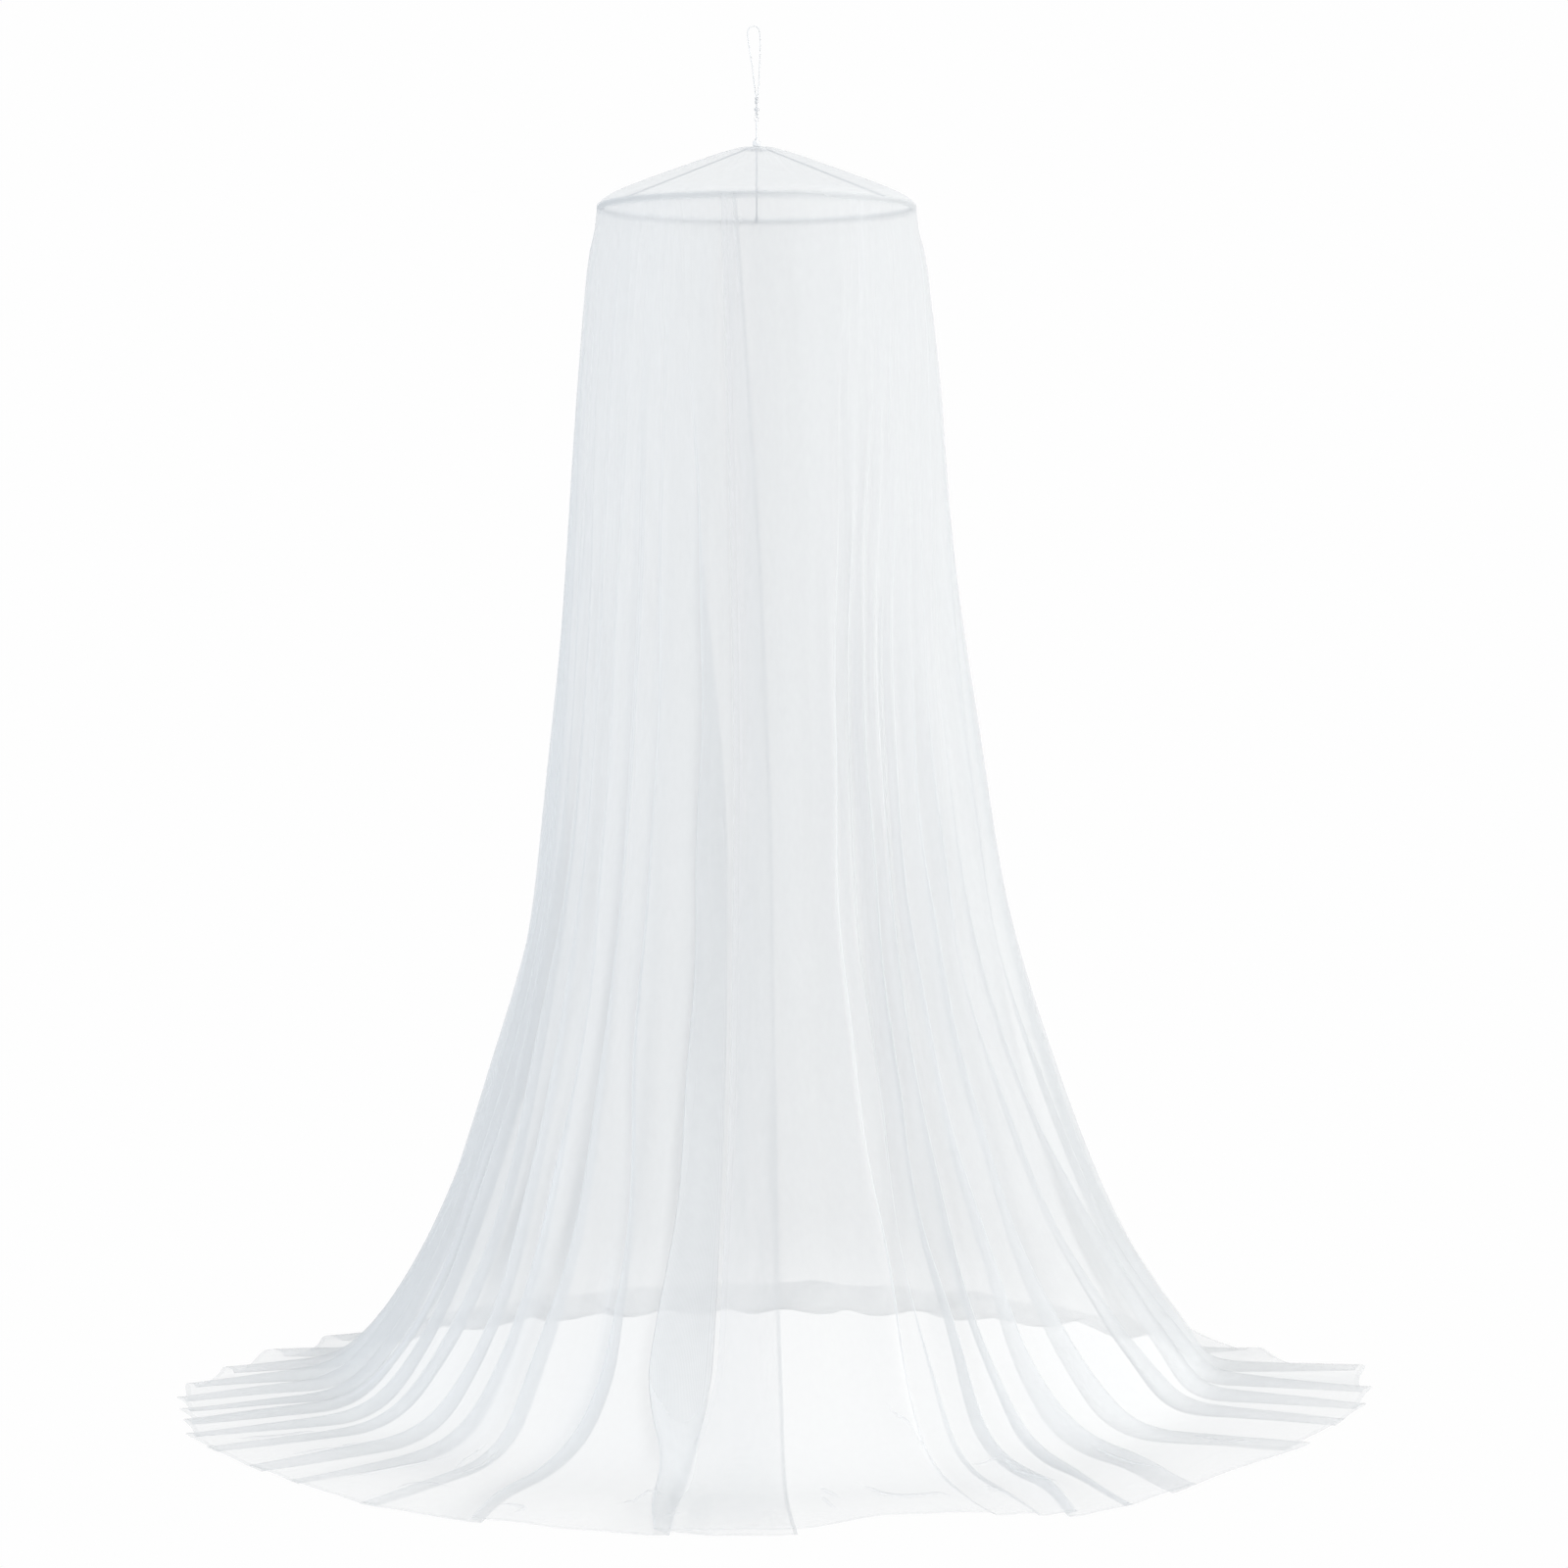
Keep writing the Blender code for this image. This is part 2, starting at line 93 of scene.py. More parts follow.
# Each fold: bearing of its crest at the hoop, waist, foot, where it touches the floor, and hem,
# its depth, how far its tip passes the hem, and the tuck before it: where the cloth turns
# under, as a share of the way from the last crest to this one. Past 1 it turns under this
# fold, below 0 under the last.
DEPTH, TIP, TUCK = 5, 6, 7  # columns of a fold's row
ENTRY_OUTER = (-12.4, -5.6, -5.7, -9.0, -7.0, 0.0, 0.00, 0.5)
ENTRY_INNER = (353, 363.8, 363.6, 363.4, 363.2, 0.0, 0.00, 0.5)
FOLDS = (
    (29, 18.5, 20, 20, 20, 0.025, 0.01, 0.64),
    (37, 23.5, 25, 25, 23.5, 0.012, 0.00, 0.30),
    (44, 28, 29.5, 29.5, 27, 0.034, 0.02, -0.05),
    (50, 32, 34, 34.5, 32, 0.034, 0.02, -0.20),
    (57, 37, 41, 43.5, 40.5, 0.034, 0.02, -0.10),
    (64, 43.5, 48, 53.5, 58, 0.036, 0.04, -0.35),
    (72, 49, 61, 66, 67.5, 0.036, 0.02, -0.25),
    (80, 56, 72, 75, 74, 0.034, 0.02, -0.10),
    (88, 66, 80, 82, 81, 0.034, 0.02, -0.20),
    (96, 79, 88, 89.5, 89, 0.038, 0.02, -0.10),
    (106, 92, 96, 97, 99, 0.038, 0.02, 0.00),
    (117, 106, 106, 108, 111, 0.034, 0.01, 0.05),
    (129, 119, 118, 119, 122, 0.022, 0.02, 0.15),
    (141, 132, 131, 131, 134, 0.012, 0.00, 0.30),
    (153, 146, 145, 145, 147, 0.016, 0.02, 0.40),
    (165, 160, 159, 159, 160, 0.012, 0.00, 0.55),
    (177, 174, 173, 173, 172, 0.015, 0.02, 0.40),
    (189, 188, 187, 187, 185, 0.012, 0.00, 0.60),
    (200, 201, 201, 201, 199, 0.016, 0.01, 0.45),
    (211, 214, 214, 214, 213, 0.014, 0.02, 0.60),
    (222, 226, 227, 227, 226, 0.022, 0.00, 0.75),
    (233, 238, 240, 239, 239, 0.032, 0.02, 0.90),
    (243, 249, 252, 251, 252, 0.036, 0.03, 1.00),
    (252, 258, 261, 260, 261.5, 0.038, 0.03, 1.10),
    (260, 266, 269, 268, 270, 0.038, 0.02, 1.10),
    (267, 273, 276, 274.5, 276.5, 0.036, 0.02, 1.15),
    (273, 279, 282, 280, 282, 0.032, 0.02, 1.10),
    (279, 285, 288, 286, 286.5, 0.030, 0.02, 1.15),
    (285, 291, 294, 292, 291, 0.032, 0.02, 1.15),
    (291, 297, 300, 298, 296, 0.034, 0.02, 1.20),
    (298, 304, 307, 304.5, 301.8, 0.034, 0.02, 1.20),
    (306, 311, 314.5, 313, 310.2, 0.034, 0.02, 1.25),
    (315, 318, 321, 318.5, 316, 0.026, 0.01, 1.20),
    (324, 326, 327.5, 327, 326, 0.034, 0.03, 1.20),
    (330, 334.5, 338.5, 335.8, 337, 0.026, 0.01, 1.15),
    (337, 346, 345.3, 350, 351.5, 0.036, 0.01, 1.00),
)
# how far the tucks have grown, by distance down the net
TUCK_LEVELS = ((0.0, 0.00), (1.35, 0.30), (2.15, 0.75), (2.40, 0.90))
TUCK_TURN = (2.30, 0.30)  # where the tucks take their size on the floor, from and over
PLEAT_ROOT = (-19.0, -7.2, -6.4, -8.6, -8.0)  # where the wide front pleat turns under
PLEAT_GROWN = 1.3  # distance down the net at which it does so in full
FLOOR_RUN = 0.30  # how much cloth lies on the floor, about
SWEEP = 0.09  # reach of the soft bend from the wall to the floor
SWEEP_ROUNDS = 17  # how often it is averaged
ENTRY_LIFT = 0.010  # how far the outer entry edge stands off the inner one
ENTRY_LIFT_TOP = 0.0035  # the same, at the hoop
ENTRY_LIFT_GROWN = 0.33  # share of the fall over which it grows

FOLD_PARTS = 22  # columns of the net from one crest to the next
WALL_COLUMNS = FOLD_PARTS * (len(FOLDS) + 1) + 1
FLOOR_ROWS = 26
ROW_STEPS = (0.044, 0.0144)  # from row to row, at the hoop and near the floor
BROAD_RIPPLE = 0.0022
FINE_RIPPLE = 0.0005
SMALL_CREASES = 150
FOLD_CREST = 1.35  # above 1 the crests are narrower than the hollows
NET_CUT = (7.60, 2.75)  # the net's cut: along the hem, and from the hoop to the hem
NET_COVER = 0.42  # share of a flat net that its yarns fill
GATHERS = (  # how much closer the net is gathered, by bearing
    (-180, 1.35), (-120, 1.50), (-75, 1.32), (-40, 1.24), (-12, 1.00), (8, 0.95), (40, 0.90),
    (90, 1.04), (140, 1.20), (180, 1.35),
)
LOW_THIN = 0.80  # what is left of that at the foot, where the net is spread
LOW_HEIGHT = 1.1  # height from which it thins
BACK_THIN = 0.45  # what is left of the net's cover on the floor behind
FLOOR_THIN = 0.86  # the same, in front
HEM_THIN = 0.60  # what is left of that at the hem
LIE_DOWN = (0.15, 0.26)  # height over which it thins to that, in front and behind
BEHIND = (95.0, 30.0)  # bearing where the back starts, and over how many degrees
# degrees above level from which the cover is reckoned: on the floor in front and behind, and
# higher up
LOOK_DOWN = (62.0, 6.0, 4.0)
LEAST_SLOPE = (0.60, 0.34)  # its least slope to that line, near the floor and above
SLOPE_HEIGHT = 0.30

# ---- streaks where the net is gathered closer or thinner: place along the net (folds
# counted from the outer entry edge), from and to down the net, width in folds, change
STREAKS = (
    (2.42, -0.3, 0.36, 0.26, 0.42), (31.90, 0.05, 0.36, 0.16, 0.35),
    (1.05, 0.34, 1.60, 0.30, -0.14), (36.60, 0.03, 1.40, 0.14, -0.40),
    (0.12, -0.3, 3.2, 0.19, -0.42), (36.92, -0.3, 3.2, 0.14, -0.42),
    (33.60, 0.50, 1.60, 0.30, 0.16), (3.60, 0.40, 1.20, 0.20, -0.16),
    (30.40, 0.10, 0.90, 0.25, 0.15), (35.55, 1.90, 3.2, 0.34, 0.40),
    (0.04, -0.1, 1.4, 0.07, -0.30),
)
# sets of random ones: how many, start (from, to), longest, width, change, drift in folds a metre
SOFT_STREAKS = (
    (24, (-0.2, 1.4), 1.6, (0.08, 0.25), (-0.16, 0.16), 0.1),
    (18, (0.3, 1.7), 1.6, (0.25, 0.60), (-0.15, 0.15), 0.1),
    (110, (1.7, 2.7), 1.2, (0.045, 0.11), (-0.30, 1.00), 0.5),
)

# ---- hems and seam: how wide they are, and the share of them that yarns fill
OUTER_HEM = (0.012, 0.08)
INNER_HEM = (0.007, 0.42)
FLOOR_HEM = (0.010, 0.12)
HEM_LIFT = 0.0009  # how far a hem stands off the net
HEM_LINES = 4  # lines of points across a hem
SEAM_COVER = (0.60, 0.30)  # in front, behind
SEAM_HEIGHTS = (0.004, -0.011)  # its top and foot, above the hoop's centre
SEAM_BULGE = (0.0011, 0.0007)  # how far it stands off the net, and swells halfway down
SEAM_ROWS = 7
SEAM_GATHERS = 0.0005
ROOF_COVER = 0.40
ROOF_GATHERS = 0.0006
ROOF_RUN = 0.34  # from the roof's top to its rim, along the net
ROUND_COLUMNS = 360  # columns of the roof and the seam

# ---- creases pinched up near the floor, in millimetres: half width, height, points (x, y)
CREASES = (
    (4.5, 6, ((109, -944), (128, -975), (147, -1005))),
    (4, 5, ((112, -990), (128, -1050), (140, -1075))),
    (4.5, 7, ((170, -915), (199, -945), (228, -985), (274, -1000), (329, -992), (357, -1030))),
    (4.5, 7, ((236, -764), (247, -778), (282, -792), (307, -828))),
    (5, 7, ((365, -817), (418, -808), (449, -810), (470, -860), (520, -920), (560, -950))),
    (4.5, 6, ((398, -910), (427, -955), (455, -1000))),
    (4.5, 6, ((610, -690), (640, -740), (690, -800), (740, -830))),
    (4.5, 6, ((800, -600), (870, -640), (930, -640))),
    (4, 6, ((-455, -1045), (-405, -1075), (-430, -1115))),
    (4.5, 5, ((-250, -1020), (-205, -1005), (-150, -1020))),
    (4, 6, ((-165, -1140), (-130, -1095))),
    (4.5, 6, ((-560, -800), (-530, -770), (-495, -710))),
    (4.5, 6, ((-545, -865), (-500, -810), (-470, -740))),
    (4, 6, ((-650, -950), (-600, -925), (-540, -930))),
    (4.5, 6, ((-755, -860), (-680, -820), (-620, -780), (-560, -735))),
    (4.5, 6, ((-990, -560), (-900, -545), (-820, -500))),
    (4, 5, ((-870, -720), (-790, -700), (-720, -650))),
)
CREASE_COVER = 0.36
CREASE_LIFT = 0.0010  # how far a crease's edges stand off the net
CREASE_CUT = 0.014  # cloth across a crease
CREASED_ROWS = 60  # rows of the wall, from the hem, that creases may stand on
# across a crease: place in half widths, rise and cover as shares
CREASE_SHAPE = ((-1.3, 0.0, 0.05), (-0.6, 0.45, 0.7), (0.1, 0.8, 1.0), (0.6, 0.45, 0.8),
                (1.3, 0.0, 0.05))

# ---- the roof: distance from the axis, height above the hoop's centre
ROOF = (
    (0.0057, 0.1172), (0.0240, 0.1172), (0.0600, 0.1090), (0.1250, 0.0870), (0.2000, 0.0595),
    (0.2600, 0.0365), (0.2950, 0.0205), (0.3096, 0.0098), (ROOF_RIM, 0.0018), (0.3150, -0.008),
)
ROOF_TOP = HOOP_HEIGHT + ROOF[0][1]
NET_HALF = 0.00105  # from the net's middle to what bears on it at the top
DISC_RADIUS = 0.0220
DISC_THICK = 0.0050
CAP_RADIUS = 0.0080
CAP_HEIGHT = 0.0135
# steps in the disc's underside, the cap's top and foot and the shank's foot: (inset, rise)
DISC_STEPS = ((0.0022, 0.0016), (0.0115, -0.0012), (0.0030, 0.0010))
CAP_STEPS = ((0.0012, 0.0020), (0.0022, 0.0013), (0.0026, -0.0010))
SPIGOT = (CAP_RADIUS - 0.0034, -0.0018)
SHANK_STEP = (0.0009, 0.0018)
CAP_SIDE = 0.0102  # height of the cap's straight side
SHANK_COLLAR = (0.0036, 0.0022)  # radius, height
THREAD_FREE = 0.0040  # length of the shank below its thread
SLEEVE = (-0.05, 0.022)  # middle, to the right of the axis, and half length
SLEEVE_WALL = 0.0004
EYE_RADIUS = 0.0039
EYE_WIRE = 0.0010
SHANK_TOP = 2.5195
THREADS = 22
THREAD_ROOT = 0.86  # the thread's root radius, as a share of its crest's

# ---- the hanging loop, as in the part: distance to the right, height
LOOP_RADIUS = 0.00125
KNOT_TOP = 2.5665
LOOP = (
    (-0.0015, KNOT_TOP + 0.0003), (-0.0031, 2.5801), (-0.0050, 2.5973), (-0.0088, 2.6280),
    (-0.0130, 2.6540), (-0.0160, 2.6740), (-0.0176, 2.6890), (-0.0160, 2.6995),
    (-0.0105, 2.7046), (-0.0035, 2.7053), (0.0028, 2.7020), (0.0062, 2.6930),
    (0.0073, 2.6701), (0.0066, 2.6414), (0.0056, 2.6126), (0.0045, 2.5916),
    (0.0029, 2.5763), (0.0015, KNOT_TOP + 0.0003),
)

# ---- knots at the loop's foot: height, line they wind round, radius, pitch, turns, and the
# cord's radius and sides
BARREL = (2.5600, (0, 0, -1), 0.0024, 0.0025, 4.6, 0.00125, 10)
STOPPER = (2.5424, (0.35, 0.2, -1.0), 0.0031, 0.0021, 3.2, 0.0016, 10)
TIE = (2.5322, (1.0, 0.0, -0.15), 0.0019, 0.0016, 3.0, 0.0009, 9)
CORE = (2.5680, 2.5335, 0.0018)  # top and foot of the cord inside them, and its radius
STRANDS = 3
STRAND_GROOVE = 0.93  # a cord's radius between two strands, as a share of the full one
SUPPORT_CORD = 0.0015  # radii of a support cord, of its turns round the hoop and of its knot
SUPPORT_WRAP = 0.00095
SUPPORT_KNOT = 0.00085

# ---- finishes: darkest and lightest colour, roughness from and to, metallic, size of the
# grain, how far it stands up, and whether it follows the piece's own map
FINISHES = {
    "white cord": ((0.76, 0.77, 0.79), (0.84, 0.85, 0.86), (0.65, 0.85), 0.0, 900.0, 0.12, True),
    "white plastic": ((0.80, 0.81, 0.83), (0.86, 0.87, 0.88), (0.32, 0.46), 0.0, 260.0, 0.12,
                      False),
    # knots: the white cord made darker, painted shade for the shadow in and between the small
    # knots
    "knot cord painted shade": ((0.66, 0.67, 0.69), (0.78, 0.79, 0.80), (0.70, 0.90), 0.0, 900.0, 0.4, True),
    # support cords: the white cord made darker, painted shade for the shade inside the canopy
    "support cord painted shade": ((0.58, 0.60, 0.63), (0.70, 0.72, 0.75), (0.70, 0.90), 0.0, 900.0, 0.25, True),
    "zinc wire": ((0.50, 0.51, 0.53), (0.62, 0.63, 0.64), (0.38, 0.52), 1.0, 700.0, 0.2, False),
}
NET_COLOUR = (0.875, 0.890, 0.905)
SEWN_COLOUR = (0.85, 0.865, 0.88)
NET_WEAVE = 0.06  # how much the yarns show in the net's cover
NET_PITCH = 0.0018  # from yarn to yarn
NET_THROUGH = 0.20  # share of the light on the yarns that passes through them
SEWING_ROWS = (0.0015, 0.0062)
SEWING_WIDTH = 0.0004
STITCH = 0.0036

# ---- studio
CAMERA_SPOT = (0.0, -7.3023, -0.9853)
CAMERA_DOWN = 4.047
CAMERA_TURN = -0.42657
CAMERA_LENS = 83.617
PALE = (0.9915, 0.9915, 0.9915, 1)
LAMPS = (  # name, spot, aim, size, power, colour
    ("top_box", (0.3, -0.8, 4.2), (0, 0, -2.7), (6.0, 6.0), 270, (1.0, 1.0, 0.99)),
    ("key_right", (3.4, -6.2, -1.5), (0, 0, -1.7), (3.0, 2.2), 168, (1.0, 0.99, 0.97)),
    ("fill_left", (-3.6, -5.8, -1.5), (0, 0, -1.7), (3.0, 2.2), 97, (0.92, 0.96, 1.0)),
    ("side_right", (6.0, -0.8, -1.5), (0, 0, -1.9), (3.4, 2.2), 176, (1.0, 1.0, 0.98)),
    ("side_left", (-6.0, -0.8, -1.5), (0, 0, -1.9), (3.4, 2.2), 137, (0.88, 0.94, 1.0)),
)

rng = np.random.default_rng(11)


def up(height):
    """Z of a height above the floor."""
    return height - HANG_HEIGHT


def ease(share):
    share = np.clip(share, 0.0, 1.0)
    return share * share * (3.0 - 2.0 * share)


def mix(a, b, share):
    return a + (b - a) * share


def read(table, wanted):
    """Values read between the rows of a table of pairs."""
    return np.interp(wanted, *zip(*table))


def smooth_through(places, values, wanted):
    """Values read at the wanted places from a curve through the given ones that never
    swings past them."""
    places, values = np.asarray(places, float), np.asarray(values, float)
    steps, rises = np.diff(places), np.diff(values)
    slopes = rises / steps
    middle = np.where(slopes[:-1] * slopes[1:] > 0,
                      2 * slopes[:-1] * slopes[1:] / (slopes[:-1] + slopes[1:] + 1e-12), 0.0)
    tangents = np.concatenate([slopes[:1], middle, slopes[-1:]])
    piece = np.clip(np.searchsorted(places, wanted, side="right") - 1, 0, len(steps) - 1)
    t = (np.asarray(wanted, float) - places[piece]) / steps[piece]
    t = np.clip(t, 0.0, 1.0)
    return (values[piece] * (1 + 2 * t) * (1 - t) ** 2
            + values[piece + 1] * t * t * (3 - 2 * t)
            + tangents[piece] * steps[piece] * t * (1 - t) ** 2
            - tangents[piece + 1] * steps[piece] * t * t * (1 - t))


def place(bearing, radius, height):
    turn = np.radians(bearing)
    return np.stack([radius * np.sin(turn), -radius * np.cos(turn),
                     up(height) + 0.0 * turn], axis=-1)


def bend(before, start, end, after, t):
    """What lies a share t of the way from start to end, on a smooth curve through all four."""
    return 0.5 * (2 * start + (end - before) * t
                  + (2 * before - 5 * start + 4 * end - after) * t ** 2
                  + (3 * start - before - 3 * end + after) * t ** 3)


def run_along(points):
    """Distance of each point from the first, along them."""
    return np.concatenate([[0.0], np.cumsum(np.linalg.norm(np.diff(points, axis=0), axis=1))])


def read_along(points, distances):
    """Points at the given distances along a line of points."""
    run = run_along(points)
    return np.stack([np.interp(distances, run, points[:, axis]) for axis in range(3)], axis=-1)


def smooth_path(points, step):
    """Points evenly spaced by about step along a smooth curve through the given points."""
    points = [np.array(point, float) for point in points]
    padded = [2 * points[0] - points[1], *points, 2 * points[-1] - points[-2]]
    dense = [points[0]]
    for four in zip(padded, padded[1:], padded[2:], padded[3:]):
        dense += [bend(*four, part / 12) for part in range(1, 13)]
    dense = np.array(dense)
    length = run_along(dense)[-1]
    return read_along(dense, np.linspace(0.0, length, round(length / step) + 1))


# ---- the net's drape

def outline_radius(bearing, left, right, front, back):
    """Distance from the axis of an outline of four quarter ellipses."""
    across, along = np.sin(np.radians(bearing)), np.cos(np.radians(bearing))
    side = np.where(across > 0, right, left)
    depth = np.where(along > 0, front, back)
    return 1.0 / np.hypot(across / side, along / depth)


def reach(bearing):
    """Distance of the hem from the axis."""
    return smooth_through(*zip(*REACH), (bearing + 180.0) % 360.0 - 180.0)


def slow_waves(count, places, sizes, lengths):
    """Gentle random waves along the cloth, one line of them for each fold."""
    total = np.zeros((count, len(places)))
    for size, length in zip(sizes, lengths):
        phase = rng.uniform(0, 2 * np.pi, (count, 1))
        pull = rng.uniform(0.75, 1.3, (count, 1))
        total += size * np.sin(2 * np.pi * places[None, :] / (length * pull) + phase)
    return total


def fold_paths(heights, distances, floor_from):
    """The bearing of every crest at every row: rows down, folds across."""
    folds = np.array((ENTRY_OUTER,) + FOLDS + (ENTRY_INNER,), float)
    hanging = distances <= floor_from
    fallen = np.clip((HOOP_HEIGHT - heights) / (HOOP_HEIGHT - WAIST), 0.0, 1.0)
    above = 1.0 - (1.0 - fallen) ** 2
    marks = [np.interp(-level, -heights[hanging], distances[hanging]) for level in (WAIST, FOOT)]
    marks = [0.0, *marks, floor_from, floor_from + FLOOR_RUN]
    paths = np.empty((len(distances), len(folds)))
    for number, fold in enumerate(folds):
        low = smooth_through(marks, [fold[1], *fold[1:5]], distances)
        paths[:, number] = np.where(distances < marks[1], mix(fold[0], fold[1], above), low)
    root = 360.0 + smooth_through(marks, PLEAT_ROOT, distances)
    sway = slow_waves(len(folds), distances, (0.50, 0.30), (1.3, 0.55)).T
    calm = np.ones(len(folds))
    calm[[0, -1]] = 0.25
    return folds, paths + sway * calm * ease(distances / 0.6)[:, None], root


def fold_curve(folds, crests, root, distance, swell_by, low_tuck):
    """The cloth's bearing, depth and tip along one row, at every column."""
    start, over = TUCK_TURN
    grown = mix(read(TUCK_LEVELS, distance), low_tuck, ease((distance - start) / over))
    tucks = crests[:-1] + np.diff(crests) * (0.5 + (folds[1:, TUCK] - 0.5) * grown)
    middle = 0.5 * (crests[-3] + crests[-2])
    tucks[-2] = mix(middle, root, ease(distance / PLEAT_GROWN))
    knots = np.empty(2 * len(crests) - 1)
    knots[0::2], knots[1::2] = crests, tucks
    heights, tips = np.zeros_like(knots), np.zeros_like(knots)
    heights[0::2], tips[0::2] = folds[:, DEPTH] * swell_by, folds[:, TIP]
    along = np.arange(FOLD_PARTS * (len(crests) - 1) + 1) * 2.0 / FOLD_PARTS
    piece = np.minimum(along.astype(int), len(knots) - 2)
    t = along - piece
    bearing = bend(knots[np.maximum(piece - 1, 0)], knots[piece], knots[piece + 1],
                   knots[np.minimum(piece + 2, len(knots) - 1)], t)
    near, far = (1.0 - ease(t)) ** FOLD_CREST, ease(t) ** FOLD_CREST
    return (bearing, heights[piece] * near + heights[piece + 1] * far,
            tips[piece] * near ** 2 + tips[piece + 1] * far ** 2)


def ripple(bearing, distance, counts, size):
    """Fine waves that run down the cloth and drift a little."""
    total = np.zeros_like(bearing)
    for count, phase, drift, share in counts:
        total += share * np.sin(np.radians(bearing * count) + phase + drift * distance)
    return size * total


def ripple_set(low, high, many):
    """For each of many waves: how many go once round, phase, drift and share."""
    return [(rng.integers(low, high), rng.uniform(0, 2 * np.pi), rng.uniform(-1.6, 1.6),
             rng.uniform(0.4, 1.0) / math.sqrt(many)) for _ in range(many)]


def small_creases(downs):
    """Heights of many narrow creases that run down the net for a way and fade."""
    columns = np.arange(WALL_COLUMNS)
    total = np.zeros((len(downs), len(columns)))
    for _ in range(SMALL_CREASES):
        middle = rng.uniform(8, len(columns) - 8)
        start, long = rng.uniform(-0.2, 2.45), rng.uniform(0.35, 1.5)
        size, width = rng.uniform(-0.0028, 0.0040), rng.uniform(0.8, 1.6)
        drift = middle + rng.uniform(-5, 5) * downs + 0.8 * np.sin(downs * rng.uniform(3, 7))
        fade = ease((downs - start) / 0.2) * ease((start + long - downs) / 0.25)
        total += size * fade[:, None] * np.exp(-((columns - drift[:, None]) / width) ** 2)
    return total


def row_levels():
    """Height and half widths of each row that hangs, and its distance down the cloth."""
    table = np.array(WALL)
    run = np.concatenate([[0.0], np.cumsum(np.hypot(
        np.diff(table[:, 0]), np.diff(table[:, 1:4].mean(axis=1))))])
    wanted = [0.0]
    while wanted[-1] < run[-1]:
        gone = wanted[-1] / run[-1]
        wanted.append(wanted[-1] + mix(*ROW_STEPS, ease((gone - 0.35) / 0.5)))
    wanted = np.array(wanted) * run[-1] / wanted[-1]
    return np.stack([smooth_through(run, table[:, k], wanted) for k in range(5)], axis=1), wanted


def drape():
    """The wall as a grid of points, and how far down the cloth each row lies."""
    hanging, distances = row_levels()
    shares = np.linspace(0.0, 1.0, FLOOR_ROWS + 1)[1:]
    floor_from = distances[-1]
    downs = np.concatenate([distances, floor_from + FLOOR_RUN * shares])
    heights = np.concatenate([np.maximum(hanging[:, 0], 0.0), 0.0 * shares])
    folds, paths, root = fold_paths(heights, downs, floor_from)
    swells = 1.0 + slow_waves(len(folds), downs, (0.22, 0.12), (1.5, 0.6)).T
    rng.uniform(size=len(folds) - 1)  # unused, but it keeps the draws that follow as they are
    ripples = (ripple_set(16, 44, 9), BROAD_RIPPLE), (ripple_set(60, 150, 9), FINE_RIPPLE)
    small = small_creases(downs)
    first = ease(2.0 - 2.0 * np.arange(WALL_COLUMNS) / FOLD_PARTS)
    sunk = np.maximum(1.0 - heights / RIDGE_START, 0.0)
    rows = []
    for number, distance in enumerate(downs):
        low_tuck = mix(1.0, RIDGE_TOUCH, sunk[max(number - 1, 0)])
        bearing, depth, tip = fold_curve(folds, paths[number], root[number], distance,
                                         swells[number], low_tuck)
        waves = sum(ripple(bearing, distance, *kind) for kind in ripples)
        waves = (waves + small[number]) * ease(distance / 0.10)
        if number < len(distances):
            height, widths = heights[number], hanging[number][1:]
            grown = (max(HOOP_HEIGHT - height, 0.0) / HOOP_HEIGHT) ** DEPTH_GROWTH
            lift = first * mix(ENTRY_LIFT_TOP, ENTRY_LIFT,
                               ease((HOOP_HEIGHT - height) / (HOOP_HEIGHT * ENTRY_LIFT_GROWN)))
            ridge, kept = RIDGE_TOUCH * sunk[number], mix(1.0, RIDGE_TOUCH, sunk[number])
            radius = outline_radius(bearing, *widths) + (depth * kept - FULL_DEPTH) * grown + lift
            low = max(1.0 - height / FLOOR_START, 0.0)
            rows.append(place(bearing, radius + waves * (1.0 - low), height + depth * ridge
                              + (NET_FLOOR + lift + np.abs(waves)) * low))
        else:
            share = shares[number - len(distances)]
            ridge = mix(RIDGE_TOUCH, RIDGE_HEM, share)
            touch = (outline_radius(bearing, *WALL[-1][1:]) - FULL_DEPTH
                     + depth * ridge * (1.0 - share))
            radius = mix(touch, reach(bearing) + tip, share)
            rows.append(place(bearing, radius, NET_FLOOR + depth * ridge + first * ENTRY_LIFT
                              + np.abs(waves)))
    grid = np.array(rows)
    soften = np.exp(-((downs - floor_from) / SWEEP) ** 2)[1:-1, None, None] * 0.5
    for _ in range(SWEEP_ROUNDS):
        between = 0.5 * (grid[:-2] + grid[2:])
        grid[1:-1] += soften * (between - grid[1:-1])
    grid[..., 2] = np.maximum(grid[..., 2], up(NET_FLOOR))
    return grid, downs


def grid_normals(grid):
    normals = np.cross(np.gradient(grid, axis=1), np.gradient(grid, axis=0))
    return normals / np.maximum(np.linalg.norm(normals, axis=2, keepdims=True), 1e-9)


def crowding(grid, normals, behind):
    """How many times its flat cover the net shows, from the slope of its folds."""
    out = grid.copy()
    out[..., 2] = 0.0
    out /= np.maximum(np.linalg.norm(out, axis=2, keepdims=True), 1e-9)
    front, back, above = LOOK_DOWN
    raised = ease((grid[..., 2] + HANG_HEIGHT) / SLOPE_HEIGHT)
    lift = np.radians(mix(mix(front, back, behind), above, raised))[..., None]
    line = out * np.cos(lift) + np.array([0.0, 0.0, 1.0]) * np.sin(lift)
    slope = np.abs((normals * line).sum(axis=2))
    return 1.0 / np.clip(slope, mix(*LEAST_SLOPE, raised), 1.0)


def put_in_scene(name, data, material):
    data.shade_smooth()
    data.materials.append(material)
    thing = bpy.data.objects.new(name, data)
    bpy.context.scene.collection.objects.link(thing)
    return thing


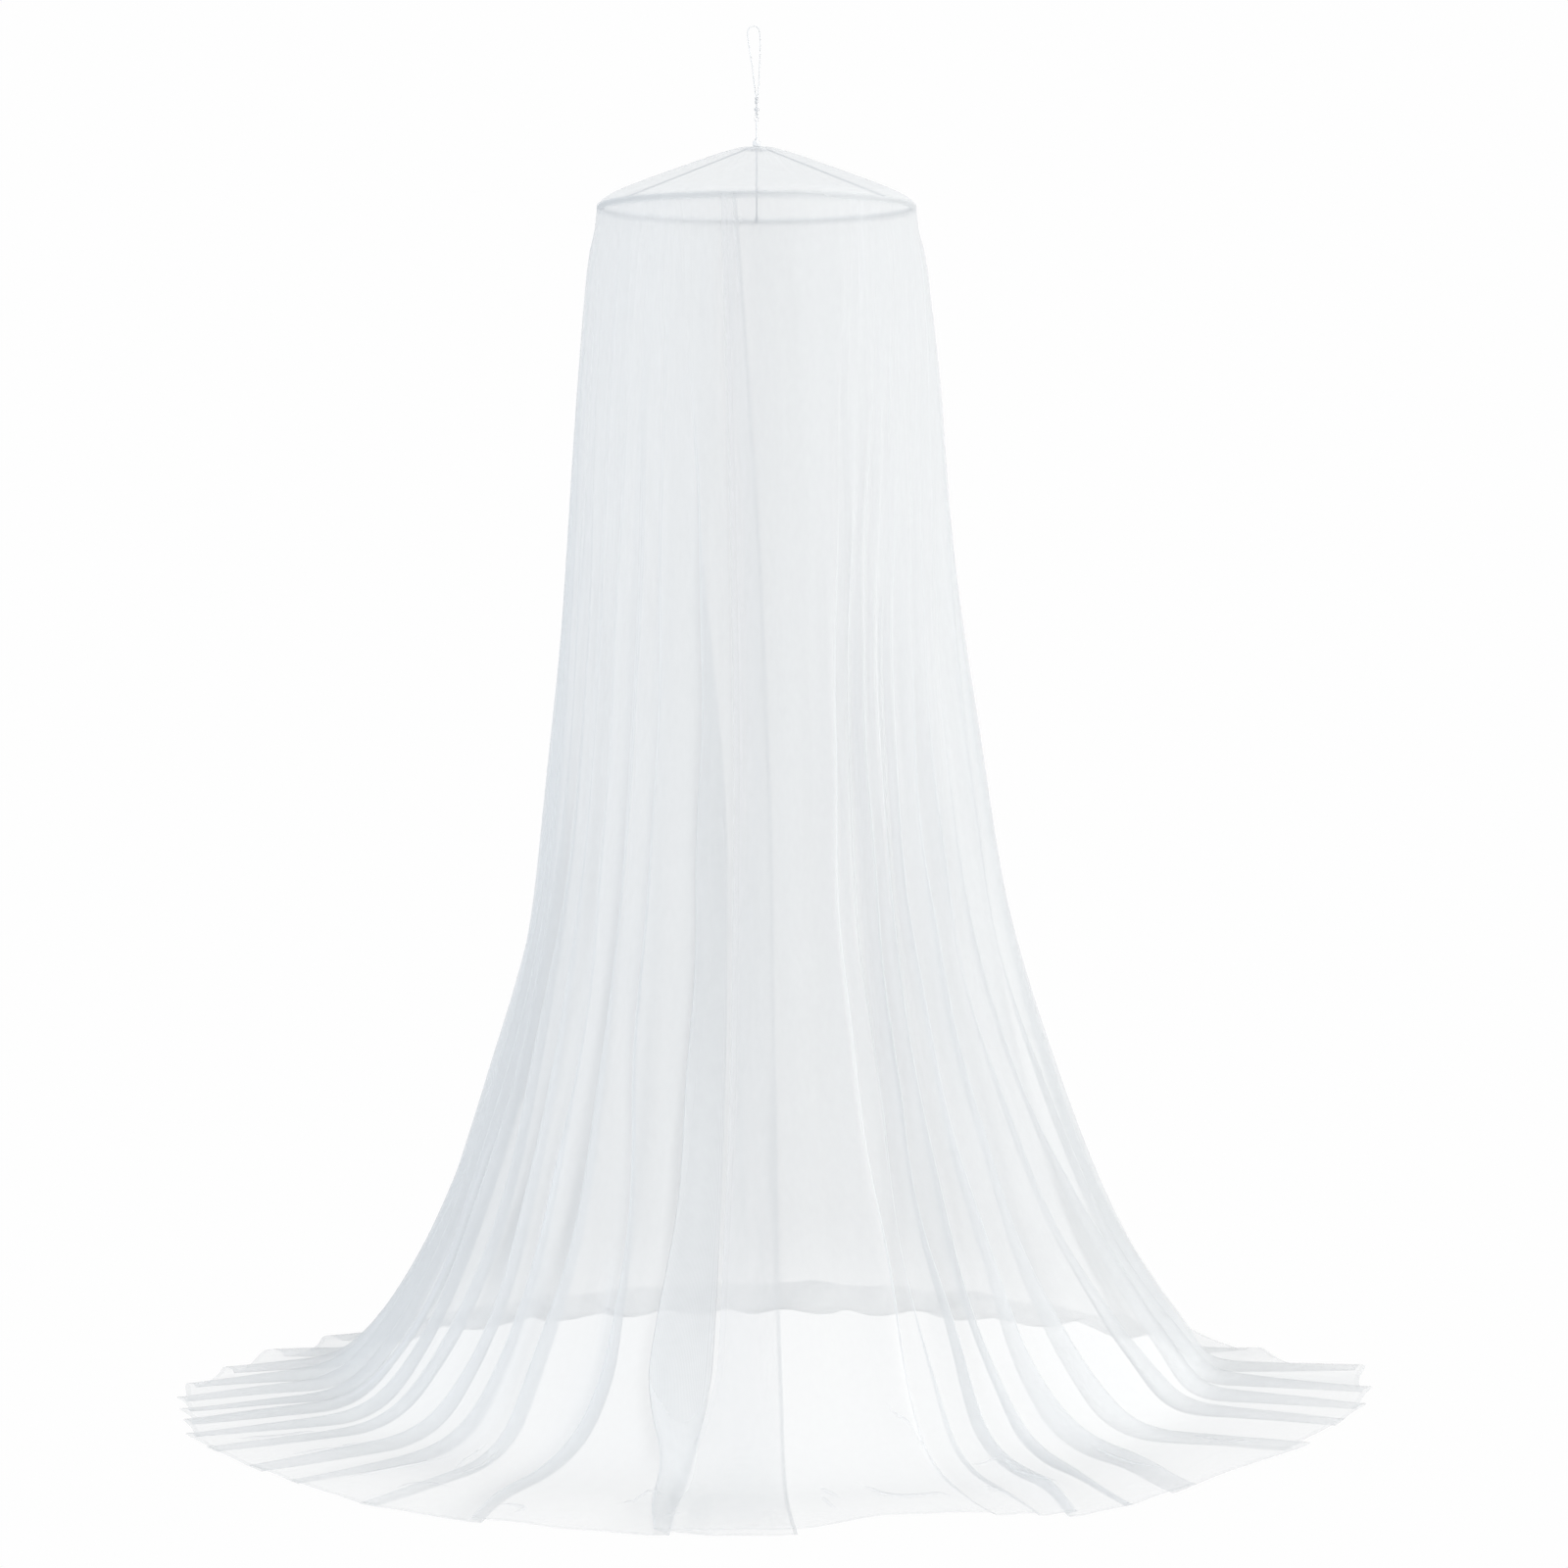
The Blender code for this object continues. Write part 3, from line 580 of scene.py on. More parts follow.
def cloth_mesh(name, grid, cut, cover, material, closed=False):
    """A single sheet through a grid of points. Its map has the place in metres on the cut:
    the length along a row, and the distance of each row. Cover is kept at each point."""
    tall, wide = grid.shape[:2]
    index = np.arange(tall * wide).reshape(tall, wide)
    right = np.roll(index, -1, axis=1) if closed else index[:, 1:]
    left = index if closed else index[:, :-1]
    faces = np.stack([left[:-1], left[1:], right[1:], right[:-1]], axis=-1).reshape(-1, 4)
    data = bpy.data.meshes.new(name)
    data.from_pydata(grid.reshape(-1, 3).tolist(), [], faces.tolist())
    level = grid[int(tall * 0.8)]
    run = run_along(np.concatenate([level, level[:1]]))[:left.shape[1] + 1]
    spots = np.stack(np.meshgrid(run * cut[0] / run[-1], cut[1]), axis=-1)
    corners = np.stack([spots[:-1, :-1], spots[1:, :-1], spots[1:, 1:], spots[:-1, 1:]], axis=2)
    data.uv_layers.new(name="cloth").data.foreach_set("uv", corners.ravel())
    shade = data.attributes.new("cover", "FLOAT", "POINT")
    shade.data.foreach_set("value", cover.ravel())
    return put_in_scene(name, data, material)


def streaks(wide, downs):
    """How much closer or thinner the net is along its streaks."""
    places = np.arange(wide) / FOLD_PARTS
    drawn = [(*streak, 0.0) for streak in STREAKS]
    for many, starts, longest, widths, changes, drift in SOFT_STREAKS:
        for _ in range(many):
            start = rng.uniform(*starts)
            drawn.append((rng.uniform(0.3, len(FOLDS) + 0.7), start,
                          start + rng.uniform(0.25, 1.0) * longest, rng.uniform(*widths),
                          rng.uniform(*changes), rng.uniform(-drift, drift)))
    total = np.ones((len(downs), wide))
    for middle, start, end, width, change, drift in drawn:
        share = min(0.20, 0.35 * (end - start))
        fade = ease((downs - start) / share) * ease((end - downs) / share)
        away = places - (middle + drift * (downs - start))[:, None]
        total += change * fade[:, None] * np.exp(-(away / width) ** 2)
    return np.maximum(total, 0.3)


def net_wall(material):
    grid, downs = drape()
    bearings = np.degrees(np.arctan2(grid[..., 0], -grid[..., 1]))
    behind = ease((np.abs(bearings) - BEHIND[0]) / BEHIND[1])
    height = grid[..., 2] + HANG_HEIGHT
    gathered = read(GATHERS, bearings) * mix(LOW_THIN, 1.0, ease(height / LOW_HEIGHT))
    spread = ease((downs - downs[-1]) / FLOOR_RUN + 1.0)[:, None]
    lying = mix(FLOOR_THIN * mix(1.0, HEM_THIN, spread), BACK_THIN, behind)
    closeness = (crowding(grid, grid_normals(grid), behind)
                 * mix(lying, gathered, ease(height / mix(*LIE_DOWN, behind))))
    cover = 1.0 - (1.0 - NET_COVER) ** (closeness * streaks(grid.shape[1], downs))
    return cloth_mesh("fine_wall", grid, (NET_CUT[0], downs), cover, material), grid


# ---- hems, seam and roof

def lifted(grid, lift):
    """The grid moved off the net by lift, to the side that faces out or up."""
    normals = grid_normals(grid)
    out = grid * (1.0, 1.0, 0.0)
    out /= np.linalg.norm(out, axis=2, keepdims=True)
    facing = (normals * (out + np.array([0.0, 0.0, 1.0]))).sum(axis=2, keepdims=True)
    return grid + np.where(facing < 0, -normals, normals) * lift


def hem_strip(name, lines, size, material):
    """A hem: cloth folded over along an edge and stitched, along lines that run in from it."""
    width, cover = size
    lines = np.array([read_along(line, np.linspace(0.0, width, HEM_LINES)) for line in lines])
    grid = lifted(lines, HEM_LIFT).transpose(1, 0, 2)
    wide = np.linalg.norm(grid[-1, 0] - grid[0, 0])
    cut = run_along(grid[1])[-1], np.linspace(0.0, wide, HEM_LINES)
    return cloth_mesh(name, grid, cut, np.full(grid.shape[:2], cover), material)


def net_hems(grid, plain, sewn):
    """The hems down the two entry edges and along the floor."""
    first, last = grid[:, :3 * FOLD_PARTS], grid[:, :-3 * FOLD_PARTS - 1:-1]
    lowest = grid[:-FLOOR_ROWS:-1].transpose(1, 0, 2)
    return [hem_strip("entry_hem_outer", first, OUTER_HEM, plain),
            hem_strip("entry_hem_inner", last, INNER_HEM, sewn),
            hem_strip("floor_hem", lowest, FLOOR_HEM, plain)]


def crease_grid(spots, tops, width, height, points):
    """A narrow tent of net along a path, set on the net and fading at both ends."""
    path = smooth_path([(x / 1000, y / 1000, 0.0) for x, y in points], 0.005)
    away = ((path[:, None, :2] - spots[None]) ** 2).sum(axis=2)
    near = np.argsort(away, axis=1)[:, :6]
    level = tops[near].max(axis=1)
    level = np.convolve(np.pad(level, 2, mode="edge"), np.ones(5) / 5, mode="valid")
    along = np.gradient(path[:, :2], axis=0)
    along /= np.linalg.norm(along, axis=1, keepdims=True)
    aside = np.stack([-along[:, 1], along[:, 0]], axis=1)
    ends = ease(np.minimum(np.arange(len(path)), np.arange(len(path))[::-1]) / (0.3 * len(path)))
    width = width * (0.35 + 0.65 * ends) * rng.uniform(0.85, 1.15, len(path))
    rows, covers = [], []
    for share, rise, cover in CREASE_SHAPE:
        side = path[:, :2] + aside * (share * width)[:, None]
        rows.append(np.column_stack([side, level + CREASE_LIFT + rise * height * ends]))
        covers.append(CREASE_COVER * cover * (0.1 + 0.9 * ends))
    return np.array(rows), np.array(covers)


def floor_creases(grid, material):
    """The creases near the floor, joined as one piece."""
    low = grid[-CREASED_ROWS:].reshape(-1, 3)
    made = []
    for width, height, points in CREASES:
        strip, cover = crease_grid(low[:, :2], low[:, 2], width / 1000, height / 1000, points)
        cut = run_along(strip[2])[-1], np.linspace(0.0, CREASE_CUT, len(strip))
        made.append(cloth_mesh("floor_creases", strip, cut, cover, material))
    bpy.ops.object.select_all(action="DESELECT")
    for piece in made:
        piece.select_set(True)
    bpy.context.view_layer.objects.active = made[0]
    bpy.ops.object.join()
    made[0].select_set(False)
    return made[0]


def round_grid(profile, ripples, size):
    """A closed sheet about the axis through (radius, height) points, with fine gathers."""
    bearings = np.arange(ROUND_COLUMNS) * 360.0 / ROUND_COLUMNS
    rows = []
    for number, (radius, height) in enumerate(profile):
        waves = ripple(bearings, number / len(profile), ripples, size)
        rows.append(place(bearings, radius + waves * 0.4, height + waves))
    return np.array(rows)


def fine_roof(material):
    """The roof: a low cone of net with fine gathers that run out from its top."""
    wanted = np.concatenate([np.linspace(ROOF[0][0], 0.285, 40), np.linspace(0.29, ROOF_RIM, 9)])
    rises = smooth_through(*zip(*ROOF[:-1]), wanted)
    radii = np.concatenate([wanted, [ROOF_RIM, ROOF_RIM]])
    profile = list(zip(radii, HOOP_HEIGHT + np.concatenate([rises, [-0.003, -0.008]])))
    gathered = round_grid(profile, ripple_set(8, 60, 8), ROOF_GATHERS)
    share = np.minimum(radii / 0.06, 1.0) * np.where(radii < 0.30, 1.0, 0.2)
    grid = mix(round_grid(profile, [], 0.0), gathered, share[:, None, None])
    near_top = np.clip(1.0 - radii / 0.05, 0.0, 1.0)
    cover = ROOF_COVER + 0.25 * near_top[:, None] * np.ones(grid.shape[:2])
    cut = math.tau * ROOF_RIM, np.linspace(0, ROOF_RUN, len(profile))
    return cloth_mesh("fine_roof", grid, cut, cover, material, closed=True)


def seam_binding(material):
    """The narrow seam that joins roof and wall round the hoop."""
    top, foot = SEAM_HEIGHTS
    off, swell = SEAM_BULGE
    heights = np.linspace(HOOP_HEIGHT + top, HOOP_HEIGHT + foot, SEAM_ROWS)
    bulge = SEAM_RADIUS + off + swell * np.sin(np.linspace(0.0, math.pi, SEAM_ROWS))
    grid = round_grid(list(zip(bulge, heights)), ripple_set(70, 160, 8), SEAM_GATHERS)
    cut = math.tau * SEAM_RADIUS, np.linspace(0, top - foot, SEAM_ROWS)
    return cloth_mesh("seam_binding", grid, cut, np.interp(grid[..., 1], (-0.3, 0.3), SEAM_COVER),
                      material, closed=True)


# ---- cords

def rope(name, points, radius, material, lay=0.0075, sides=15):
    """A laid cord along points: a tube with the swell of its twisted strands, ends closed."""
    points = np.asarray(points, float)
    along = np.gradient(points, axis=0)
    along /= np.linalg.norm(along, axis=1, keepdims=True)
    across = np.cross(along[0], (0.31, 0.87, 0.38))
    runs, rings = run_along(points), []
    turn = np.arange(sides) * math.tau / sides
    for point, ahead, run in zip(points, along, runs):
        across = across - ahead * across.dot(ahead)
        across /= np.linalg.norm(across)
        over = np.cross(ahead, across)
        strand = np.abs(np.cos(STRANDS / 2 * (turn - math.tau * run / lay)))
        swell = radius * mix(STRAND_GROOVE, 1.0, strand)
        rings.append(point + swell[:, None] * (np.cos(turn)[:, None] * across
                                               + np.sin(turn)[:, None] * over))
    shape = bmesh.new()
    grid = [[shape.verts.new(corner) for corner in ring] for ring in rings]
    layer = shape.loops.layers.uv.new("cloth")
    size = math.tau * radius
    for row in range(len(grid) - 1):
        for side in range(sides):
            beside = (side + 1) % sides
            face = shape.faces.new((grid[row][side], grid[row][beside],
                                    grid[row + 1][beside], grid[row + 1][side]))
            places = ((side, row), (side + 1, row), (side + 1, row + 1), (side, row + 1))
            for loop, (u, v) in zip(face.loops, places):
                loop[layer].uv = (u / sides * size, runs[v])
    shape.faces.new(grid[0][::-1])
    shape.faces.new(grid[-1])
    bmesh.ops.recalc_face_normals(shape, faces=shape.faces)
    data = bpy.data.meshes.new(name)
    shape.to_mesh(data)
    shape.free()
    return put_in_scene(name, data, material)


def coil(name, middle, along, radius, pitch, turns, thick, sides, material, step=0.0004):
    """A cord wound round a line through middle."""
    along = np.asarray(along, float) / np.linalg.norm(along)
    side = np.cross(along, (0.0, 1.0, 0.13))
    side /= np.linalg.norm(side)
    other = np.cross(along, side)
    count = int(turns * math.tau * radius / step)
    angle = np.linspace(0.0, turns * math.tau, count)
    away = np.linspace(-0.5, 0.5, count) * pitch * turns
    path = (np.asarray(middle) + along * away[:, None]
            + radius * (np.cos(angle)[:, None] * side + np.sin(angle)[:, None] * other))
    return rope(name, path, thick, material, sides=sides)


def hanging_loop(material):
    route = smooth_path([(side, 0.0, up(height)) for side, height in LOOP], 0.0012)
    return rope("fine_loop", route, LOOP_RADIUS, material, lay=0.006, sides=12), route


def support_cord(side, bearing, material):
    """A cord from the disc to the hoop, the turns round the hoop's rod, and their knot."""
    top = place(bearing, DISC_RADIUS - 0.001, ROOF_TOP - NET_HALF - DISC_THICK / 2)
    foot = place(bearing, HOOP_RADIUS, HOOP_HEIGHT)
    along = (foot - top) / np.linalg.norm(foot - top)
    end = foot - along * (HOOP_ROD + 0.0006)
    route = np.linspace(top, end, int(np.linalg.norm(end - top) / 0.001))
    rod = np.cross(foot - place(bearing, 0.0, HOOP_HEIGHT), (0.0, 0.0, 1.0))
    return (rope(f"fine_cord_{side}", route, SUPPORT_CORD, material),
            coil(f"cord_wrap_{side}", foot, rod, HOOP_ROD + 0.0009, 0.0019, 3.0, SUPPORT_WRAP, 9,
                 material, 0.0007),
            coil(f"cord_knot_{side}", end - along * 0.0035, along, 0.0017, 0.0016, 3.0,
                 SUPPORT_KNOT, 9, material, 0.0005))


def loop_knots(material):
    """The knots at the foot of the loop: a barrel knot and its core, a round stopper knot, and
    the turns that tie it to the pin's eye."""
    def wound(name, height, *rest):
        return coil(name, (0, 0, up(height)), *rest, material)

    top, foot, radius = CORE
    core = np.linspace((0.0, 0.0, up(top)), (0.0, 0.0, up(foot)), 40)
    return (wound("knot_barrel", *BARREL), rope("knot_core", core, radius, material, sides=12),
            wound("knot_stopper", *STOPPER), wound("knot_tie", *TIE))


# ---- hoop, disc, cap and pin

def settle(thing, name, material, smooth_angle=35.0):
    """Names a finished piece and puts its place into its mesh."""
    bpy.ops.object.select_all(action="DESELECT")
    thing.select_set(True)
    bpy.context.view_layer.objects.active = thing
    bpy.ops.object.transform_apply(location=True, rotation=True, scale=True)
    thing.name = thing.data.name = name
    thing.data.materials.append(material)
    bpy.ops.object.shade_smooth_by_angle(angle=math.radians(smooth_angle))
    thing.select_set(False)
    return thing


def pick(thing, test, kind="FACE"):
    """Opens a piece for editing and selects what passes the test: faces by middle and normal,
    or edges by their two ends."""
    bpy.ops.object.select_all(action="DESELECT")
    thing.select_set(True)
    bpy.context.view_layer.objects.active = thing
    bpy.ops.object.mode_set(mode="EDIT")
    bpy.ops.mesh.select_mode(type=kind)
    shape = bmesh.from_edit_mesh(thing.data)
    for face in shape.faces:
        face.select_set(False)
    if kind == "FACE":
        for face in shape.faces:
            face.select_set(test(face.calc_center_median(), face.normal))
    else:
        for edge in shape.edges:
            edge.select_set(test(*(vert.co for vert in edge.verts)))
    shape.select_flush(True)
    bmesh.update_edit_mesh(thing.data)


def done_editing():
    bpy.ops.object.mode_set(mode="OBJECT")


def raise_face(rise):
    bpy.ops.mesh.extrude_region_move(TRANSFORM_OT_translate={"value": (0, 0, rise)})


def step_faces(*steps):
    """Insets the chosen face and then moves it up, for each (width, rise)."""
    for width, rise in steps:
        bpy.ops.mesh.inset(thickness=width)
        raise_face(rise)


def wire_ring(height, radius, wire, parts=240, sides=20, turned=0.0):
    bpy.ops.mesh.primitive_torus_add(location=(0, 0, up(height)), rotation=(turned, 0, 0),
                                     major_radius=radius, minor_radius=wire,
                                     major_segments=parts, minor_segments=sides)
    return bpy.context.object


def drum(foot, radius, depth, sides):
    bpy.ops.mesh.primitive_cylinder_add(vertices=sides, radius=radius, depth=depth,
                                        location=(0, 0, up(foot + depth / 2)))
    return bpy.context.object


def fine_hoop(material):
    """The hoop's rod, and the sleeve that joins its ends at the back."""
    rod = settle(wire_ring(HOOP_HEIGHT, HOOP_RADIUS, HOOP_ROD), "fine_hoop", material, 60)
    sleeve = wire_ring(HOOP_HEIGHT, HOOP_RADIUS, HOOP_ROD + SLEEVE_WALL)
    pick(sleeve, lambda middle, normal: middle.y < HOOP_RADIUS * 0.6
         or abs(middle.x - SLEEVE[0]) > SLEEVE[1])
    bpy.ops.mesh.delete(type="FACE")
    bpy.ops.mesh.select_all(action="SELECT")
    bpy.ops.mesh.select_mode(type="EDGE")
    bpy.ops.mesh.select_all(action="DESELECT")
    bpy.ops.mesh.select_non_manifold()
    bpy.ops.mesh.extrude_region_shrink_fatten(TRANSFORM_OT_shrink_fatten={"value": 0.0})
    bpy.ops.mesh.edge_face_add()
    bpy.ops.mesh.select_all(action="SELECT")
    bpy.ops.mesh.normals_make_consistent(inside=False)
    done_editing()
    return rod, settle(sleeve, "hoop_sleeve", material, 40)


def fine_disc(material):
    """The disc under the roof: rounded rims, a dished underside and a raised hub."""
    disc = drum(ROOF_TOP - NET_HALF - DISC_THICK, DISC_RADIUS, DISC_THICK, 72)
    pick(disc, lambda middle, normal: normal.z < -0.9)
    step_faces(*DISC_STEPS)
    done_editing()
    pick(disc, lambda a, b: abs(a.z - b.z) < 1e-6 and abs(abs(a.z) - DISC_THICK / 2) < 1e-5
         and min(a.xy.length, b.xy.length) > DISC_RADIUS * 0.98, "EDGE")
    bpy.ops.mesh.bevel(offset=0.0012, segments=4)
    done_editing()
    return settle(disc, "fine_disc", material)


def fine_cap(material):
    """The cap over the net: a tapered collar with a rounded shoulder on a short spigot."""
    cap = drum(ROOF_TOP + NET_HALF, CAP_RADIUS, CAP_SIDE, 64)
    pick(cap, lambda middle, normal: normal.z > 0.9)
    step_faces(*CAP_STEPS)
    done_editing()
    pick(cap, lambda middle, normal: normal.z < -0.9)
    step_faces(SPIGOT)
    done_editing()
    pick(cap, lambda a, b: abs(a.z - b.z) < 1e-6 and abs(a.xy.length - b.xy.length) < 1e-6
         and a.z > 0.0 and a.xy.length > 0.0040, "EDGE")
    bpy.ops.mesh.bevel(offset=0.0007, segments=3)
    done_editing()
    return settle(cap, "fine_cap", material)


def fine_pin(material):
    """The pin: a wire eye on a threaded shank that flares into a small collar."""
    eye = settle(wire_ring(SHANK_TOP + EYE_RADIUS, EYE_RADIUS, EYE_WIRE, 48, 14, math.pi / 2),
                 "fine_eye", material, 60)
    foot = ROOF_TOP + NET_HALF + CAP_HEIGHT + 0.0003
    shank = drum(foot, *SHANK_COLLAR, 24)
    pick(shank, lambda middle, normal: normal.z > 0.9)
    step_faces(SHANK_STEP)
    bpy.ops.mesh.inset(thickness=SHANK_STEP[0])
    half_thread = (SHANK_TOP - foot - THREAD_FREE) / THREADS / 2
    for change in (THREAD_ROOT, 1 / THREAD_ROOT) * THREADS:
        raise_face(half_thread)
        bpy.ops.transform.resize(value=(change, change, 1.0))
    done_editing()
    return eye, settle(shank, "fine_shank", material, 50)


# ---- finishes

class Nodes:
    """A small helper that adds nodes to a tree and joins them."""

    def __init__(self, tree):
        self.tree = tree

    def add(self, kind, inputs=(), **settings):
        node = self.tree.nodes.new(kind)
        for name, value in settings.items():
            setattr(node, name, value)
        for key, value in dict(inputs).items():
            self.put(node.inputs[key], value)
        return node

    def put(self, socket, value):
        if isinstance(value, bpy.types.NodeSocket):
            self.tree.links.new(value, socket)
        else:
            socket.default_value = value

    def maths(self, what, *values, clamp=False):
        node = self.add("ShaderNodeMath", operation=what, use_clamp=clamp)
        for socket, value in zip(node.inputs, values):
            self.put(socket, value)
        return node.outputs[0]

    def between(self, marked, dark, light):
        """A colour that varies with the mask of a marked node."""
        tone = self.add("ShaderNodeMix", {"Factor": marked.outputs["Mask"], "A": (*dark, 1.0),
                                          "B": (*light, 1.0)}, data_type="RGBA")
        return tone.outputs["Result"]

    def blend(self, share, first, second):
        return self.add("ShaderNodeMixShader", {0: share, 1: first.outputs[0],
                                                2: second.outputs[0]})

    def end(self, shader, kind="ShaderNodeOutputMaterial"):
        self.add(kind, {"Surface": shader.outputs[0]})


def new_finish(name):
    material = bpy.data.materials.new(name)
    material.use_nodes = True
    material.node_tree.nodes.clear()
    return material, Nodes(material.node_tree)


def net_finish(name, colour, marks, weave, stitched=False):
    """Sheer net: yarns on a fine even grid, more of them where the cloth is crowded. A
    stitched one has two rows of sewing along it."""
    material, n = new_finish(name)
    uv = n.add("ShaderNodeUVMap", uv_map="cloth").outputs["UV"]
    cover = n.add("ShaderNodeAttribute", attribute_name="cover").outputs["Fac"]
    along, across, _ = n.add("ShaderNodeSeparateXYZ", {"Vector": uv}).outputs
    waves = [n.maths("COSINE", n.maths("MULTIPLY", way, math.tau / NET_PITCH))
             for way in (along, across)]
    yarns = n.maths("MULTIPLY", n.maths("ADD", *waves), weave)
    uneven = n.add("ShaderNodeGroup", {"Place": uv, "Scale": 7.0}, node_tree=marks)
    cloudy = n.maths("MULTIPLY", n.maths("SUBTRACT", uneven.outputs["Mask"], 0.5), 0.12)
    share = n.maths("MULTIPLY", cover, n.maths("ADD", n.maths("ADD", yarns, cloudy), 1.0),
                    clamp=True)
    for row in SEWING_ROWS if stitched else ():
        away = n.maths("ABSOLUTE", n.maths("SUBTRACT", across, row))
        turn = n.maths("COSINE", n.maths("MULTIPLY", along, math.tau / STITCH))
        sewing = n.maths("MULTIPLY", n.maths("LESS_THAN", away, SEWING_WIDTH),
                         n.maths("GREATER_THAN", turn, -0.4))
        share = n.maths("MAXIMUM", share, n.maths("MULTIPLY", sewing, 0.5))
    tone = n.between(uneven, [part * 0.975 for part in colour], [part * 1.02 for part in colour])
    cloth = n.add("ShaderNodeBsdfPrincipled", {"Base Color": tone, "Roughness": 0.9,
                                               "Specular IOR Level": 0.2})
    glow = n.add("ShaderNodeBsdfTranslucent", {"Color": tone})
    yarn = n.blend(NET_THROUGH, cloth, glow)
    n.end(n.blend(share, n.add("ShaderNodeBsdfTransparent"), yarn))
    return material


def fibre_group():
    """Fine uneven marks at a given scale: a mask, and a height for bumps."""
    group = bpy.data.node_groups.new("fine marks", "ShaderNodeTree")
    for name, kind in (("Place", "NodeSocketVector"), ("Scale", "NodeSocketFloat")):
        group.interface.new_socket(name, in_out="INPUT", socket_type=kind)
    for name in ("Mask", "Height"):
        group.interface.new_socket(name, in_out="OUTPUT", socket_type="NodeSocketFloat")
    n = Nodes(group)
    given = n.add("NodeGroupInput")
    broad = n.add("ShaderNodeTexNoise", {"Vector": given.outputs["Place"],
                                         "Scale": given.outputs["Scale"], "Detail": 3.0})
    fine = n.add("ShaderNodeTexNoise", {
        "Vector": given.outputs["Place"],
        "Scale": n.maths("MULTIPLY", given.outputs["Scale"], 6.0), "Detail": 4.0})
    both = n.maths("ADD", n.maths("MULTIPLY", broad.outputs["Fac"], 0.6),
                   n.maths("MULTIPLY", fine.outputs["Fac"], 0.4))
    out = n.add("NodeGroupOutput")
    n.put(out.inputs["Mask"], both)
    n.put(out.inputs["Height"], fine.outputs["Fac"])
    return group


def solid_finish(name, marks, dark, light, roughness, metallic, scale, bump, from_map):
    """Cord, plastic or wire: a colour that varies a little, with its grain as a bump."""
    material, n = new_finish(name)
    if from_map:
        where = n.add("ShaderNodeUVMap", uv_map="cloth").outputs["UV"]
    else:
        where = n.add("ShaderNodeTexCoord").outputs["Object"]
    grain = n.add("ShaderNodeGroup", {"Place": where, "Scale": scale}, node_tree=marks)
    rough = n.add("ShaderNodeMapRange", {"Value": grain.outputs["Mask"], "From Min": 0.3,
                                         "From Max": 0.7, "To Min": roughness[0],
                                         "To Max": roughness[1]})
    raised = n.add("ShaderNodeBump", {"Strength": bump, "Distance": 0.0002,
                                      "Height": grain.outputs["Height"]})
    shader = n.add("ShaderNodeBsdfPrincipled", {
        "Base Color": n.between(grain, dark, light), "Roughness": rough.outputs["Result"],
        "Metallic": metallic, "Normal": raised.outputs["Normal"]})
    n.end(shader)
    return material


# ---- studio

def studio_camera():
    bpy.ops.object.camera_add(location=CAMERA_SPOT, rotation=(
        math.radians(90 - CAMERA_DOWN), 0.0, math.radians(CAMERA_TURN)))
    camera = bpy.context.object
    camera.data.lens = CAMERA_LENS
    camera.data.sensor_width = 36.0
    camera.data.clip_end = 100.0
    bpy.context.scene.camera = camera


def softbox(name, spot, aim, size, power, colour):
    bpy.ops.object.light_add(type="AREA", location=spot)
    lamp = bpy.context.object
    lamp.name = name
    lamp.data.shape = "RECTANGLE"
    lamp.data.size, lamp.data.size_y = size
    lamp.data.energy = power
    lamp.data.color = colour
    lamp.rotation_euler = (Vector(aim) - Vector(spot)).to_track_quat("-Z", "Y").to_euler()


